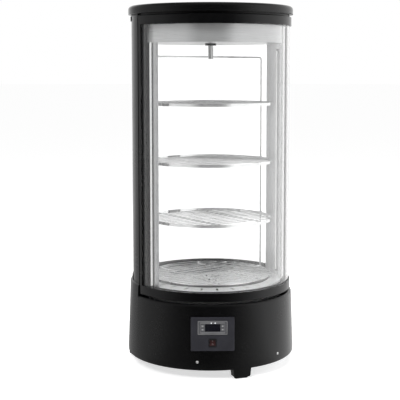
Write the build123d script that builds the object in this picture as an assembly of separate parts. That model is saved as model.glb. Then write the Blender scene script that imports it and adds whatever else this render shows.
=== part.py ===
from build123d import *

import os
from math import atan2, cos, degrees, hypot, radians, sin, sqrt, tan

# Round display case with a curved hinged door, four turning shelves and a base on three legs.
# Lengths are millimetres and angles are degrees. The origin is on the floor at the centre of the
# base, +Z is up and the control panel faces -Y. Each piece is drawn with the door facing -Y and
# is then turned by cabinet_turn. Angles round the case start at -Y and grow towards +X.

# Overall sizes
overall_height = 1066.0
overall_diameter = 503.0
cabinet_turn = 20.0
rack_turn = 34.7

# Base and legs
leg_height = 26.0
leg_width = 50.0
leg_flare = 4.0
leg_depth = 25.0
leg_corner = 5.0
leg_spacing = 120.0
pad_height = 4.0
pad_length = 40.0
pad_width = 16.0
pad_peg_radius = 4.0
pad_peg_length = 8.0
base_height = 190.0
base_taper = 6.0
base_wall = 2.5
base_corner = 7.0
base_band = 19.0
base_lip = 15.0
ledge_width = 47.0
rim_rise = 33.0
rim_angle = 82.3
seam_angle = 94.0
seam_gap = 0.3
louvre_rows = 7
louvre_banks = (-15.0, 0.0, 15.0)
louvre_width = 50.0
louvre_slot = 5.0
louvre_pitch = 11.0
louvre_rise = 28.0
screw_radius = 4.0
screw_shank = 2.0
screw_drop = 12.5
screw_head = 2.0
screw_length = 8.0
screw_stand = 0.15
screw_play = 0.15
screw_angles = (-30.0, 30.0, -150.0, 150.0)
bottom_sheet = 1.5
bottom_rim = 36.0
bottom_bevel = 8.3
bottom_bend = 2.0
bottom_play = 0.05
pan_slot_start = -70.0
pan_slot_pitch = 12.0
pan_slot_length = 60.0
pan_slot_width = 5.0

# Glass, door and seals
door_inset = 4.5
glass_inset = 4.3
seal_width = 3.0
glass_thickness = 4.0
pane_gap = 10.0
pane_play = 0.1
door_gap = 6.5
door_angle = 81.3
column_start = 84.3
column_end = 102.0
column_depth = 24.0
column_wall = 2.0
rail_height = 26.0
rail_depth = 25.0
groove_depth = 10.0
groove_play = 0.4
stile_angle = 3.0
stile_corner = 2.0
grip_depth = 5.0
grip_width = 5.0
grip_inset = 8.0
grip_margin = 60.0
stile_wall_angle = 1.2
knuckle_wall_angle = 2.0
glass_end_play = 0.1
gasket_width = 9.0
gasket_margin = 4.0
gasket_play = 0.05
gasket_end_angle = 0.4
seal_gap = 0.3
spacer_width = 9.0
channel_height = 13.0
channel_wall = 2.0
channel_play_angle = 0.1

# Door hinge
hinge_knuckle = 8.0
hinge_pin_radius = 4.0
hinge_pin_reach = 17.0
pin_tail = 8.0
pin_end_play = 2.0
pin_side_play = 0.5
running_play = 0.06
fit_play = 0.02
bush_radius = 6.0
bush_length = 14.0
plate_thickness = 2.7
plate_width = 20.0
plate_length = 28.0
plate_corner = 4.0
plate_hole = 2.0
plate_hole_place = 6.0
shoulder_radius = 7.5
door_rest_gap = 0.3

# Cabinet floor, ceiling and cap
sheet = 1.2
floor_rise = 30.0
flange_width = 13.0
ceiling_drop = 78.5
cap_height = 25.0
cap_wall = 2.5
cap_round = 10.0
cap_edge = 2.0
cap_lip = 19.5
frame_height = 5.0
frame_sheet = 2.0
frame_edge = 2.5
frame_inset = 10.0
boss_radius = 6.0
boss_inset = 46.0
boss_bore = 12.0
lining_start = 76.0
light_width = 9.0
light_depth = 8.0
light_margin = 15.0
light_corner = 1.5
light_seat_gap = 0.1
intake_slots = 24
intake_slot_width = 6.0
intake_slot_length = 32.0
intake_inset = 24.0
outlet_slots = 12
outlet_slot_length = 34.0
outlet_start = 15.0

# Rack and shelves
shaft_radius = 7.5
shaft_foot = 6.0
shaft_grip = 15.8
shaft_chamfer = 1.0
grub_radius = 2.5
grub_socket = 1.4
grub_socket_depth = 2.0
rack_play = 2.8
rack_drop = 40.0
frame_wire = 5.0
frame_bend = 8.0
frame_foot_gap = 4.0
shelf_count = 4
shelf_gap = 7.5
shelf_band_height = 8.5
shelf_band = 1.5
shelf_rise = 12.6
shelf_headroom = 138.6
shelf_wire = 3.0
shelf_wire_pitch = 25.0
shelf_cross_wire = 4.0
shelf_cross_offset = 70.0
clip_radius = 5.0
clip_width = 7.0
bearing_radius = 16.5
bearing_drop = 6.0
bearing_edge = 1.5
bearing_spigot = 11.0
bearing_rise = 2.5
collar_radius = 12.0
collar_height = 4.0
collar_gap = 0.3

# Rack drive
bracket_height = 20.0
bracket_length = 104.0
bracket_width = 70.0
bracket_sheet = 2.0
bracket_foot = 12.0
gearbox_length = 84.0
gearbox_width = 60.0
gearbox_height = 22.0
gearbox_corner = 8.0
gearbox_edge = 2.0
gearbox_offset = 8.0
shaft_end_play = 0.5
motor_radius = 11.0
motor_length = 36.0
motor_offset = 28.0

# Control panel
panel_width = 124.0
panel_height = 97.0
panel_low_share = 0.367
panel_sheet = 2.5
panel_corner = 4.0
panel_proud = 0.5
panel_play = 0.5
panel_bevel = 0.8
cutout_play = 0.3
panel_flange = 8.0
panel_ear_gap = 0.35
panel_ear_inset = 10.0
bezel_width = 85.0
bezel_height = 40.0
bezel_proud = 1.4
bezel_corner = 3.0
bezel_edge = 0.6
controller_rise = 18.5
controller_depth = 36.0
controller_body_width = 76.0
controller_body_height = 34.0
window_width = 43.0
window_height = 21.0
window_thickness = 1.5
window_sink = 0.3
window_play = 0.1
key_width = 8.0
key_height = 6.0
key_across = 28.5
key_apart = 10.2
key_rise = 0.4
key_depth = 3.0
key_travel = 0.8
key_play = 0.2
key_end_gap = 0.3
key_edge = 0.35
switch_width = 22.8
switch_height = 24.8
switch_drop = 25.0
switch_depth = 22.0
switch_proud = 0.8
switch_rim = 1.0
rocker_width = 16.4
rocker_half_height = 8.5
rocker_tilt = 8.0
rocker_pivot_depth = 4.5
rocker_rise = 3.2
rocker_play = 0.3
trunnion_radius = 1.5
trunnion_length = 1.2
trunnion_end_play = 0.2

# Cooling unit
tub_rise = 14.0
tub_clearance = 2.5
tub_wall = 20.0
tub_play = 0.5
evaporator_length = 200.0
evaporator_depth = 56.0
evaporator_play = 9.6
evaporator_headroom = 16.8
fan_space = 77.0
condenser_size = (150.0, 36.0, 100.0)
condenser_inset = 68.5
fin_pitch = 7.0
fin_thickness = 2.5
fin_depth = 8.0
fin_plate = 3.0
fan_radius = 45.0
fan_clearance = 2.5
fan_blades = 5
fan_hub_radius = 16.0
fan_depth = 12.0
fan_pitch_angle = 32.0
fan_blade_thickness = 1.6
fan_blade_root = 4.0
fan_blade_share = 0.92
fan_hub_edge = 2.0
fan_hub_face = 1.5
fan_ring_wall = 2.0
fan_shaft_gap = 4.0
fan_wheel_gap = 1.5
fan_shaft_radius = 3.0
fan_motor_radius = 17.0
fan_motor_length = 20.0
fan_ring_depth = 22.0
fan_strut = 4.0
fan_post = 3.0
fan_seat_gap = 0.3
shroud_sheet = 1.5
shroud_gap = 18.0
compressor_radius = 52.0
compressor_height = 98.0
compressor_dome = 18.0
compressor_inset = 139.5
compressor_back = 28.0
compressor_foot = (118.0, 84.0, 3.0)
mount_radius = 7.0
mount_neck = 4.0
mount_neck_play = 0.05
mount_inset = 9.0
mount_cap = 1.0
mount_height = 8.0
inlet_angle = 142.0
inlet_height = 84.0
inlet_size = (48.0, 28.0)
inlet_depth = 24.0
inlet_proud = 1.5
inlet_rim = 4.0
inlet_wall = 3.0
inlet_pins = ((-7.0, -2.0), (0.0, 3.0), (7.0, -2.0))
inlet_pin_length = 16.0

# Heights and radii that follow: base
base_radius = overall_diameter / 2
shoulder = leg_height + base_height
band_top = leg_height + base_band
base_top_radius = base_radius - base_taper
wall_lean = degrees(atan2(base_taper, shoulder - band_top))
rim_top = shoulder + rim_rise
rim_radius = base_top_radius - rim_rise * tan(radians(wall_lean))
ledge_inner = base_top_radius - ledge_width
plate_floor = leg_height + base_wall
pan_floor = plate_floor + bottom_sheet
pan_top = plate_floor + bottom_rim
pan_radius = base_radius - (pan_top - band_top) * tan(radians(wall_lean)) - base_wall - bottom_play
screw_height = pan_top - screw_drop
louvre_bottom = pan_floor + louvre_rise
seam_half = degrees(seam_gap / 2 / base_radius)
clearance_hole = screw_shank + screw_play

# Heights and radii that follow: door, glass and columns
door_radius = base_top_radius - door_inset
rail_inner = door_radius - rail_depth
seat_radius = rail_inner - seal_width
rim_inner = seat_radius + seal_gap
glass_radius = door_radius - glass_inset
outer_pane_inner = glass_radius - glass_thickness
inner_pane_outer = outer_pane_inner - pane_gap
inner_pane_inner = inner_pane_outer - glass_thickness
column_radius = seat_radius + column_depth
cap_radius = base_top_radius
cap_bottom = overall_height - cap_height
door_bottom = shoulder + door_gap
door_top = cap_bottom - door_gap
pivot_radius = door_radius - hinge_knuckle
pivot_angle = door_angle - degrees(hinge_knuckle / pivot_radius)
door_glass_bottom = door_bottom + rail_height - groove_depth + groove_play
door_glass_top = door_top - rail_height + groove_depth - groove_play
glass_start = -door_angle + stile_wall_angle + glass_end_play
glass_end = pivot_angle - knuckle_wall_angle - glass_end_play
bush_seat = bush_radius + fit_play
pin_hole = hinge_pin_radius + fit_play
pin_bore = hinge_pin_radius + pin_side_play

# Heights and radii that follow: ceiling, frame and fixed glass
floor_top = shoulder + floor_rise
frame_bottom = cap_bottom - frame_height
plate_top = frame_bottom + frame_sheet
frame_radius = door_radius - frame_inset
boss_circle = frame_radius - boss_inset
ceiling = frame_bottom - ceiling_drop
drive_floor = ceiling + sheet
bearing_top = drive_floor + bearing_rise
rear_start = column_end + channel_play_angle
rear_end = 360 - rear_start
rear_glass_start = rear_start + glass_end_play
rear_glass_end = 360 - rear_glass_start
rear_bottom = rim_top + channel_wall
rear_top = frame_bottom - channel_wall

# Heights and radii that follow: rack
frame_reach = seat_radius - sheet - light_depth - rack_play - clip_radius
frame_top = ceiling - rack_drop
frame_foot = floor_top + frame_foot_gap
shelf_radius = frame_reach - frame_wire / 2 - shelf_gap
shelf_first = floor_top + shelf_rise
shelf_pitch = (frame_top - shelf_headroom - shelf_first) / (shelf_count - 1)
shaft_end = frame_top - shaft_foot
gearbox_bottom = drive_floor + bracket_height
shaft_top = gearbox_bottom + shaft_grip
shaft_bore = shaft_radius + running_play

# Places that follow: panel and cooling unit
panel_room = shoulder - pan_top - panel_height
panel_centre = pan_top + panel_low_share * panel_room + panel_height / 2
tub_radius = ledge_inner - tub_clearance
tub_bottom = pan_floor + mount_height + compressor_height + tub_rise
tub_floor = tub_bottom + tub_wall
tub_inner = tub_radius - tub_wall
evaporator_height = floor_top - sheet - evaporator_headroom - tub_floor
evaporator_reach = sqrt((tub_inner - evaporator_play) ** 2 - (evaporator_length / 2) ** 2)
evaporator_back = evaporator_reach - evaporator_depth / 2
fan_centre = evaporator_back - evaporator_depth / 2 - fan_space
fan_ring_top = floor_top - sheet - fan_seat_gap
condenser_back = base_radius - condenser_inset
condenser_middle = pan_floor + condenser_size[2] / 2
compressor_place = (compressor_inset - base_radius, compressor_back)


def at_angle(radius, angle):
    """Point on a circle round the case, with the angle counted from the front."""
    return (radius * sin(radians(angle)), -radius * cos(radians(angle)))


def wall_radius(height):
    """Outer radius of the base wall at a height."""
    return base_radius - max(height - band_top, 0) * tan(radians(wall_lean))


def disc(radius, bottom, top, centre=(0, 0)):
    """Upright cylinder between two heights."""
    return Pos(*centre, (bottom + top) / 2) * Cylinder(radius, top - bottom)


def ring(inner, outer, bottom, top):
    """Full round wall."""
    return disc(outer, bottom, top) - disc(inner, bottom - 1, top + 1)


def sector_face(inner, outer, start, end):
    """Flat piece of a ring from one angle to another."""
    middle = (start + end) / 2
    outline = [
        ThreePointArc(at_angle(outer, start), at_angle(outer, middle), at_angle(outer, end)),
        Line(at_angle(outer, end), at_angle(inner, end)),
        ThreePointArc(at_angle(inner, end), at_angle(inner, middle), at_angle(inner, start)),
        Line(at_angle(inner, start), at_angle(outer, start)),
    ]
    return make_face(outline)


def sector(inner, outer, bottom, top, start, end):
    """Wall that follows part of a circle from one angle to another."""
    return Pos(0, 0, bottom) * extrude(sector_face(inner, outer, start, end), top - bottom)


def block(size, centre):
    """Rectangular block by its size and centre."""
    return Pos(*centre) * Box(*size)


def turned(profile, start, end):
    """Solid swept round the case by a profile of radius against height."""
    return revolve(Rot(0, 0, start - 90) * (Plane.XZ * profile), Axis.Z, end - start)


def shell_profile(points, corner, wall):
    """Thin wall of even thickness inside a path of radius against height."""
    path = FilletPolyline(*points, radius=corner)
    return make_face(offset(path, amount=wall, side=Side.LEFT, closed=True))


def mirrored(shape):
    """Left-hand copy of a right-hand piece."""
    return mirror(shape, Plane.YZ)


def save(name, shape, turn=cabinet_turn):
    """Write one piece, turned into its place round the case."""
    export_step(Rot(0, 0, turn) * Compound(shape.solids()), f"parts/{name}.step")


# Base shells: a tapered moulded wall with a rolled lower lip, a ledge and a raised rim
def low_wall(start, end):
    """Wall under the door, closed at its top by the ledge."""
    lip_inner = base_radius - base_lip
    points = (
        (lip_inner, leg_height),
        (base_radius, leg_height),
        (base_radius, band_top),
        (base_top_radius, shoulder),
        (ledge_inner, shoulder),
    )
    return turned(shell_profile(points, base_corner, base_wall), start, end)


def high_wall(start, end):
    """Wall that rises to the rim under the columns and the fixed glass."""
    lip_inner = base_radius - base_lip
    points = (
        (lip_inner, leg_height),
        (base_radius, leg_height),
        (base_radius, band_top),
        (rim_radius, rim_top),
        (rim_inner, rim_top),
    )
    wall = turned(shell_profile(points, base_corner, base_wall), start, end)
    reach = wall_radius(shoulder) - base_wall / 2
    return wall + sector(ledge_inner, reach, shoulder - base_wall, shoulder, start, end)


def rim_end(side):
    """Upright wall that closes the raised rim beside the door."""
    thickness = degrees(base_wall / rim_radius)
    half = base_wall / 2
    bottom = shoulder - base_wall
    edge = FilletPolyline(
        (base_top_radius - half, bottom),
        (rim_radius - half, rim_top - half),
        (rim_inner, rim_top - half),
        radius=base_corner - half,
    )
    sides = Polyline(edge @ 1, (rim_inner, bottom), edge @ 0)
    start = rim_angle if side > 0 else -rim_angle - thickness
    return turned(make_face([edge, sides]), start, start + thickness)


def leg(angle):
    """Leg flush with the base wall, wider where it joins the base."""
    half_foot = leg_width / 2
    half_top = half_foot + leg_flare
    blend = base_corner + 6
    top = leg_height + blend
    outline = Polyline(
        (-half_top, top),
        (-half_foot, pad_height),
        (half_foot, pad_height),
        (half_top, top),
        close=True,
    )
    blank = Plane.XZ.offset(base_radius - leg_depth) * extrude(make_face(outline), leg_depth)
    blank = fillet(blank.edges().filter_by(Axis.Y).group_by(Axis.Z)[0], leg_corner)
    body = blank & ring(base_radius - leg_depth, base_radius, pad_height, leg_height + base_wall)
    skirt = blank & ring(base_radius - base_wall, base_radius, leg_height, top)
    x, y = at_angle(base_radius - leg_depth / 2, 0)
    socket = disc(pad_peg_radius, pad_height - 1, pad_height + pad_peg_length, (x, y))
    return Rot(0, 0, angle) * (body + skirt - socket)


def screw_holes():
    """Clearance holes for the screws that hold the shells to the bottom pan."""
    holes = []
    for angle in screw_angles:
        hole = Pos(0, -base_radius, screw_height) * Rot(90, 0, 0) * Cylinder(clearance_hole, 30)
        holes.append(Rot(0, 0, angle) * hole)
    return holes


def base_front_shell():
    """Front of the base with its leg, the two rim ends and the opening for the panel."""
    limit = seam_angle - seam_half
    shell = low_wall(-rim_angle, rim_angle)
    shell += high_wall(rim_angle, limit)
    shell += high_wall(-limit, -rim_angle)
    shell += rim_end(1)
    shell += rim_end(-1)
    shell += leg(0)
    opening = block(
        (panel_width + 2 * panel_play, panel_height + 2 * panel_play, 60),
        (0, 0, 0),
    )
    shell -= Rot(0, 0, -cabinet_turn) * (panel_place() * opening)
    pin_x, pin_y = at_angle(pivot_radius, pivot_angle)
    shell -= disc(pin_hole, shoulder - 10, shoulder + 10, (pin_x, pin_y))
    for hole in screw_holes():
        shell -= hole
    return shell


def base_rear_shell():
    """Rear of the base with two legs, the air louvres and the opening for the inlet."""
    limit = seam_angle + seam_half
    shell = high_wall(limit, 360 - limit)
    shell += leg(leg_spacing)
    shell += leg(-leg_spacing)
    for bank in louvre_banks:
        for row in range(louvre_rows):
            height = louvre_bottom + row * louvre_pitch
            slot = extrude(SlotOverall(louvre_width, louvre_slot), 4 * base_wall, both=True)
            slot = Pos(0, wall_radius(height), height) * Rot(90, 0, 0) * slot
            shell -= Rot(0, 0, bank) * slot
    width, height = inlet_size
    margin = 2 * (cutout_play - inlet_rim)
    opening = block((width + margin, 60, height + margin), (0, -base_radius, inlet_height))
    shell -= Rot(0, 0, inlet_angle) * opening
    for hole in screw_holes():
        shell -= hole
    return shell


def foot_pads():
    """Rubber pad pegged into each leg."""
    pads = []
    x, y = at_angle(base_radius - leg_depth / 2, 0)
    for angle in (0, leg_spacing, -leg_spacing):
        pad = extrude(RectangleRounded(pad_length, pad_width, pad_width / 3), pad_height)
        pad = Pos(x, y, 0) * pad
        pad += disc(pad_peg_radius - 0.05, pad_height, pad_height + pad_peg_length - 1, (x, y))
        pads.append(Rot(0, 0, angle) * pad)
    return Compound(pads)


def bottom_pan():
    """Steel pan that closes the base and carries the cooling unit."""
    points = (
        (0, plate_floor),
        (pan_radius - bottom_bevel, plate_floor),
        (pan_radius, plate_floor + bottom_bevel),
        (pan_radius, pan_top),
    )
    path = FilletPolyline(*points, radius=bottom_bend)
    profile = make_face(offset(path, amount=bottom_sheet, side=Side.LEFT, closed=True))
    pan = turned(profile, 0, 360)
    for row in range(6):
        y = pan_slot_start + row * pan_slot_pitch
        pan -= block((pan_slot_length, pan_slot_width, 10), (pan_slot_length, y, plate_floor))
    for hole in screw_holes():
        pan -= hole
    return pan


def base_screws():
    """Domed screws through the shells into the bottom pan."""
    screws = []
    for angle in screw_angles:
        seat = wall_radius(screw_height)
        head = disc(screw_radius, 0, screw_head)
        head = fillet(head.edges().group_by(Axis.Z)[-1], 0.6 * screw_head)
        screw = head + disc(screw_shank, -screw_length, 0)
        place = Pos(0, -seat - screw_stand, screw_height) * Rot(90, 0, 0)
        screws.append(Rot(0, 0, angle) * place * screw)
    return screws


# Cabinet: floor pan, columns, fixed glass, ceiling, frame and cap
def cabinet_floor():
    """Stainless floor pan with a skirt that the door seals against."""
    pan = disc(seat_radius, floor_top - sheet, floor_top)
    pan += ring(seat_radius - sheet, seat_radius, shoulder, floor_top)
    pan += ring(seat_radius - flange_width, seat_radius, shoulder, shoulder + sheet)
    slot_reach = seat_radius - intake_inset - intake_slot_length / 2
    slot = block((intake_slot_width, intake_slot_length, 10), (0, slot_reach, floor_top))
    for i in range(intake_slots):
        pan -= Rot(0, 0, i * 360 / intake_slots) * slot
    slot_reach = outlet_start + outlet_slot_length / 2
    slot = block((intake_slot_width, outlet_slot_length, 10), (0, slot_reach, floor_top))
    for i in range(outlet_slots):
        pan -= Pos(0, fan_centre) * Rot(0, 0, i * 360 / outlet_slots) * slot
    return pan


def column():
    """Hollow right-hand column, a closed extrusion that follows the circle."""
    inner = seat_radius + 0.1
    body = sector(inner, column_radius, rim_top, frame_bottom, column_start, column_end)
    side = degrees(column_wall / column_radius)
    bore = sector(
        inner + column_wall,
        column_radius - column_wall,
        rim_top - 1,
        frame_bottom + 1,
        column_start + side,
        column_end - side,
    )
    outer_edges = body.edges().filter_by(Axis.Z).sort_by(lambda e: -hypot(e.center().X, e.center().Y))
    body = fillet(outer_edges[0:2], column_wall)
    return body - bore


def lining():
    """Stainless strip inside the right-hand column, with the door's seal seat."""
    return sector(
        seat_radius - sheet, seat_radius, floor_top, ceiling, lining_start, column_end
    )


def light_bars():
    """Upright light bar along the front edge of each lining, which hides it from outside."""
    back = seat_radius - sheet - light_seat_gap
    face = seat_radius - sheet - light_depth
    span = degrees(light_width / back)
    bottom = floor_top + light_margin
    top = ceiling - light_margin
    bar = sector(face, back, bottom, top, lining_start, lining_start + span)
    uprights = bar.edges().filter_by(Axis.Z).sort_by(lambda e: hypot(e.center().X, e.center().Y))
    bar = fillet(uprights[0:2], light_corner)
    return Compound([bar, mirrored(bar)])


def pane(outer, bottom, top, start, end):
    """Curved glass pane."""
    return sector(outer - glass_thickness, outer, bottom, top, start, end)


def spacer_frame(bottom, top, start, end):
    """Closed frame that keeps two panes apart round their edges."""
    inner = inner_pane_outer + pane_play
    outer = outer_pane_inner - pane_play
    side = degrees(spacer_width / outer)
    frame = sector(inner, outer, bottom, top, start, end)
    return frame - sector(
        inner - 5, outer + 5, bottom + spacer_width, top - spacer_width, start + side, end - side
    )


def rear_glass_outer():
    """Outer pane of the fixed glass."""
    return pane(glass_radius, rear_bottom, rear_top, rear_glass_start, rear_glass_end)


def rear_glass_inner():
    """Inner pane of the fixed glass."""
    return pane(inner_pane_outer, rear_bottom, rear_top, rear_glass_start, rear_glass_end)


def rear_glass_spacer():
    """Spacer frame of the fixed glass."""
    return spacer_frame(rear_bottom, rear_top, rear_glass_start, rear_glass_end)


def rear_channel(floor, lip_bottom, lip_top):
    """Channel that holds the edge of the fixed glass, with its base at a height."""
    inner = inner_pane_inner - channel_wall - groove_play
    outer = glass_radius + channel_wall + groove_play
    base = sector(inner, outer, floor, floor + channel_wall, rear_start, rear_end)
    base += sector(outer - channel_wall, outer, lip_bottom, lip_top, rear_start, rear_end)
    return base + sector(inner, inner + channel_wall, lip_bottom, lip_top, rear_start, rear_end)


def rear_bottom_channel():
    """Channel on the raised rim."""
    return rear_channel(rim_top, rim_top, rim_top + channel_height)


def rear_top_channel():
    """Channel under the top frame."""
    return rear_channel(rear_top, frame_bottom - channel_height, frame_bottom)


def top_frame():
    """Steel frame plate on the columns, with an upturned edge that carries the cap."""
    outline = Circle(frame_radius)
    outline += sector_face(frame_radius - 20, column_radius, column_start, 360 - column_start)
    pin_x, pin_y = at_angle(pivot_radius, pivot_angle)
    ear = Pos(pin_x, pin_y) * Circle(hinge_knuckle + 1)
    edge = outline - offset(outline, -frame_edge)
    frame = Pos(0, 0, frame_bottom) * extrude(outline + ear, frame_sheet)
    frame += Pos(0, 0, frame_bottom) * extrude(edge, frame_height)
    notch_height = frame_height - frame_sheet + 1
    notch = block((plate_length + 20, plate_width + 1, notch_height), (0, 0, notch_height / 2))
    frame -= hinge_place(plate_top) * notch
    frame -= disc(pin_hole, frame_bottom - 1, cap_bottom, (pin_x, pin_y))
    for x, y in boss_places():
        frame -= disc(clearance_hole, frame_bottom - 1, cap_bottom, (x, y))
    return frame


def boss_places():
    """Centres of the four bosses inside the cap."""
    return [at_angle(boss_circle, 45 + 90 * i) for i in range(4)]


def top_cap():
    """Moulded cap with a round upper edge, a return lip and four bosses."""
    cap = disc(cap_radius, cap_bottom, overall_height)
    cap = fillet(cap.edges().group_by(Axis.Z)[-1], cap_round)
    cap = fillet(cap.edges().group_by(Axis.Z)[0], cap_edge)
    inside = disc(cap_radius - cap_wall, cap_bottom + cap_wall, overall_height - cap_wall)
    inside = fillet(inside.edges().group_by(Axis.Z)[-1], cap_round - cap_wall)
    cap -= inside
    cap -= disc(cap_radius - cap_lip, cap_bottom - 1, cap_bottom + cap_wall)
    for x, y in boss_places():
        cap += disc(boss_radius, plate_top, overall_height - cap_wall / 2, (x, y))
        cap -= disc(screw_shank + fit_play, plate_top - 1, plate_top + boss_bore, (x, y))
    return cap


def cap_screws():
    """Screws up through the frame plate into the cap."""
    screws = []
    for x, y in boss_places():
        screw = disc(screw_shank, frame_bottom, frame_bottom + boss_bore, (x, y))
        screw += disc(screw_radius, frame_bottom - screw_head, frame_bottom, (x, y))
        screws.append(screw)
    return screws


def case_screws():
    """All the screws that hold the base and the cap together."""
    return Compound(base_screws() + cap_screws())


def ceiling_drum():
    """Stainless drum that forms the ceiling and hides the rack drive."""
    drum = disc(seat_radius, ceiling, ceiling + sheet)
    drum += ring(seat_radius - sheet, seat_radius, ceiling, frame_bottom)
    drum += ring(seat_radius - flange_width, seat_radius, frame_bottom - sheet, frame_bottom)
    return drum - disc(bearing_spigot + 0.1, ceiling - 1, ceiling + 5)


# Door: two rails, two stiles and a sealed pair of curved panes
def rail(bottom, groove_bottom, groove_top):
    """Curved rail with a groove for the glass."""
    limit = door_angle - stile_angle
    hinge_limit = pivot_angle - stile_angle
    body = sector(rail_inner, door_radius, bottom, bottom + rail_height, -limit, hinge_limit)
    groove_inner = inner_pane_inner - groove_play
    groove_outer = glass_radius + groove_play
    groove = sector(groove_inner, groove_outer, groove_bottom, groove_top, -limit - 1, hinge_limit + 1)
    return body - groove


def door_bottom_rail():
    """Rail under the door glass."""
    groove = door_bottom + rail_height - groove_depth
    body = rail(door_bottom, groove, groove + groove_depth + 1)
    edges = body.edges().filter_by(lambda e: e.center().Z < door_bottom + 0.1)
    longest = edges.sort_by(lambda e: e.length)[-1]
    return fillet([longest], stile_corner)


def door_top_rail():
    """Rail over the door glass."""
    groove = door_top - rail_height + groove_depth
    body = rail(door_top - rail_height, groove - groove_depth - 1, groove)
    edges = body.edges().filter_by(lambda e: e.center().Z > door_top - 0.1)
    longest = edges.sort_by(lambda e: e.length)[-1]
    return fillet([longest], stile_corner)


def glass_groove(start, end):
    """Space for the pair of panes inside a stile."""
    return sector(
        inner_pane_inner - groove_play,
        glass_radius + groove_play,
        door_glass_bottom - groove_play,
        door_glass_top + groove_play,
        start,
        end,
    )


def closing_stile():
    """Upright at the free edge, with a finger groove along it."""
    inner_edge = stile_angle - door_angle
    body = sector(rail_inner, door_radius, door_bottom, door_top, -door_angle, inner_edge)
    edges = body.edges().filter_by(Axis.Z).filter_by(lambda e: e.center().X < 0)
    outer = edges.sort_by(lambda e: -hypot(e.center().X, e.center().Y))[0:2]
    body = fillet(outer.sort_by(Axis.Y)[-1:], stile_corner)
    grip = sector(
        door_radius - grip_inset - grip_width,
        door_radius - grip_inset,
        door_bottom + grip_margin,
        door_top - grip_margin,
        -door_angle - 1,
        -door_angle + degrees(grip_depth / door_radius),
    )
    pocket_end = inner_edge + 1
    pocket = glass_groove(-door_angle + stile_wall_angle, pocket_end)
    return body - grip - pocket


def hinge_stile():
    """Upright at the hinge, rounded about the pin so that it turns clear of the column."""
    start = pivot_angle - stile_angle
    body = sector(rail_inner, door_radius, door_bottom, door_top, start, pivot_angle)
    pivot = at_angle(pivot_radius, pivot_angle)
    body += disc(hinge_knuckle, door_bottom, door_top, pivot)
    body -= glass_groove(start - 1, pivot_angle - knuckle_wall_angle)
    reach = bush_length + fit_play
    body -= disc(bush_seat, door_bottom - 1, door_bottom + reach, pivot)
    body -= disc(bush_seat, door_top - reach, door_top + 1, pivot)
    reach = hinge_pin_reach + pin_end_play
    body -= disc(pin_bore, door_bottom, door_bottom + reach, pivot)
    return body - disc(pin_bore, door_top - reach, door_top, pivot)


def door_glass_outer():
    """Outer pane of the door."""
    return pane(glass_radius, door_glass_bottom, door_glass_top, glass_start, glass_end)


def door_glass_inner():
    """Inner pane of the door."""
    return pane(inner_pane_outer, door_glass_bottom, door_glass_top, glass_start, glass_end)


def door_glass_spacer():
    """Spacer frame of the door glass."""
    return spacer_frame(door_glass_bottom, door_glass_top, glass_start, glass_end)


def door_gasket():
    """Rubber seal round the inside of the door."""
    inner = seat_radius + seal_gap
    outer = rail_inner - gasket_play
    start = -door_angle + gasket_end_angle
    end = pivot_angle - gasket_end_angle
    side = degrees(gasket_width / outer)
    bottom = door_bottom + gasket_margin
    top = door_top - gasket_margin
    frame = sector(inner, outer, bottom, top, start, end)
    return frame - sector(
        inner - 5, outer + 5, bottom + gasket_width, top - gasket_width, start + side, end - side
    )


# Hinge: a plate and pin at each end, and two bushes in the hinge stile
def hinge_place(height):
    """Place at the hinge pin with X along the radius."""
    x, y = at_angle(pivot_radius, pivot_angle)
    return Pos(x, y, height) * Rot(0, 0, pivot_angle - 90)


def hinge_plate(bottom):
    """Steel plate that carries a hinge pin."""
    plate = extrude(RectangleRounded(plate_length, plate_width, plate_corner), plate_thickness)
    reach = plate_length / 2 - hinge_knuckle - 1
    plate = Pos(-reach, 0, 0) * plate
    plate -= Cylinder(pin_hole, plate_length)
    for side in (-1, 1):
        hole = Pos(-reach - plate_hole_place, side * plate_hole_place, 0)
        plate -= hole * Cylinder(plate_hole, plate_length)
    return hinge_place(bottom) * plate


def hinge_plates():
    """One plate on the ledge and one on the top frame."""
    return Compound([hinge_plate(shoulder), hinge_plate(plate_top)])


def hinge_pins():
    """Lower pin with a shoulder that takes the door's weight, and plain upper pin."""
    pivot = at_angle(pivot_radius, pivot_angle)
    lower = disc(hinge_pin_radius, shoulder - pin_tail, door_bottom + hinge_pin_reach, pivot)
    seat = shoulder + plate_thickness
    lower += disc(shoulder_radius, seat, door_bottom - door_rest_gap, pivot)
    upper = disc(hinge_pin_radius, door_top - hinge_pin_reach, plate_top + plate_thickness, pivot)
    return Compound([lower, upper])


def hinge_bushes():
    """Plain bushes in the two ends of the hinge stile."""
    pivot = at_angle(pivot_radius, pivot_angle)
    bore = hinge_pin_radius + running_play
    bushes = []
    for bottom in (door_bottom, door_top - bush_length):
        bush = disc(bush_radius, bottom, bottom + bush_length, pivot)
        bushes.append(bush - disc(bore, bottom - 1, bottom + bush_length + 1, pivot))
    return Compound(bushes)


# Rack: a shaft hung from the drive, a wire frame and four shelves, drawn with the frame along X
def rack_shaft():
    """Drive shaft with a thrust collar and a cross hole for the frame wire."""
    shaft = disc(shaft_radius, shaft_end, shaft_top)
    shaft = chamfer(shaft.edges().group_by(Axis.Z)[0], shaft_chamfer)
    collar_seat = bearing_top + collar_gap
    shaft += disc(collar_radius, collar_seat, collar_seat + collar_height)
    wire_hole = Cylinder(frame_wire / 2 + fit_play, 4 * shaft_radius)
    shaft -= Pos(0, 0, frame_top) * Rot(0, 90, 0) * wire_hole
    return shaft - disc(grub_radius + fit_play, shaft_end - 1, frame_top)


def rack_screw():
    """Grub screw that clamps the frame wire in the shaft."""
    screw = disc(grub_radius, shaft_end, frame_top - frame_wire / 2)
    socket = Pos(0, 0, shaft_end) * extrude(RegularPolygon(grub_socket, 6), grub_socket_depth)
    return screw - socket


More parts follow.
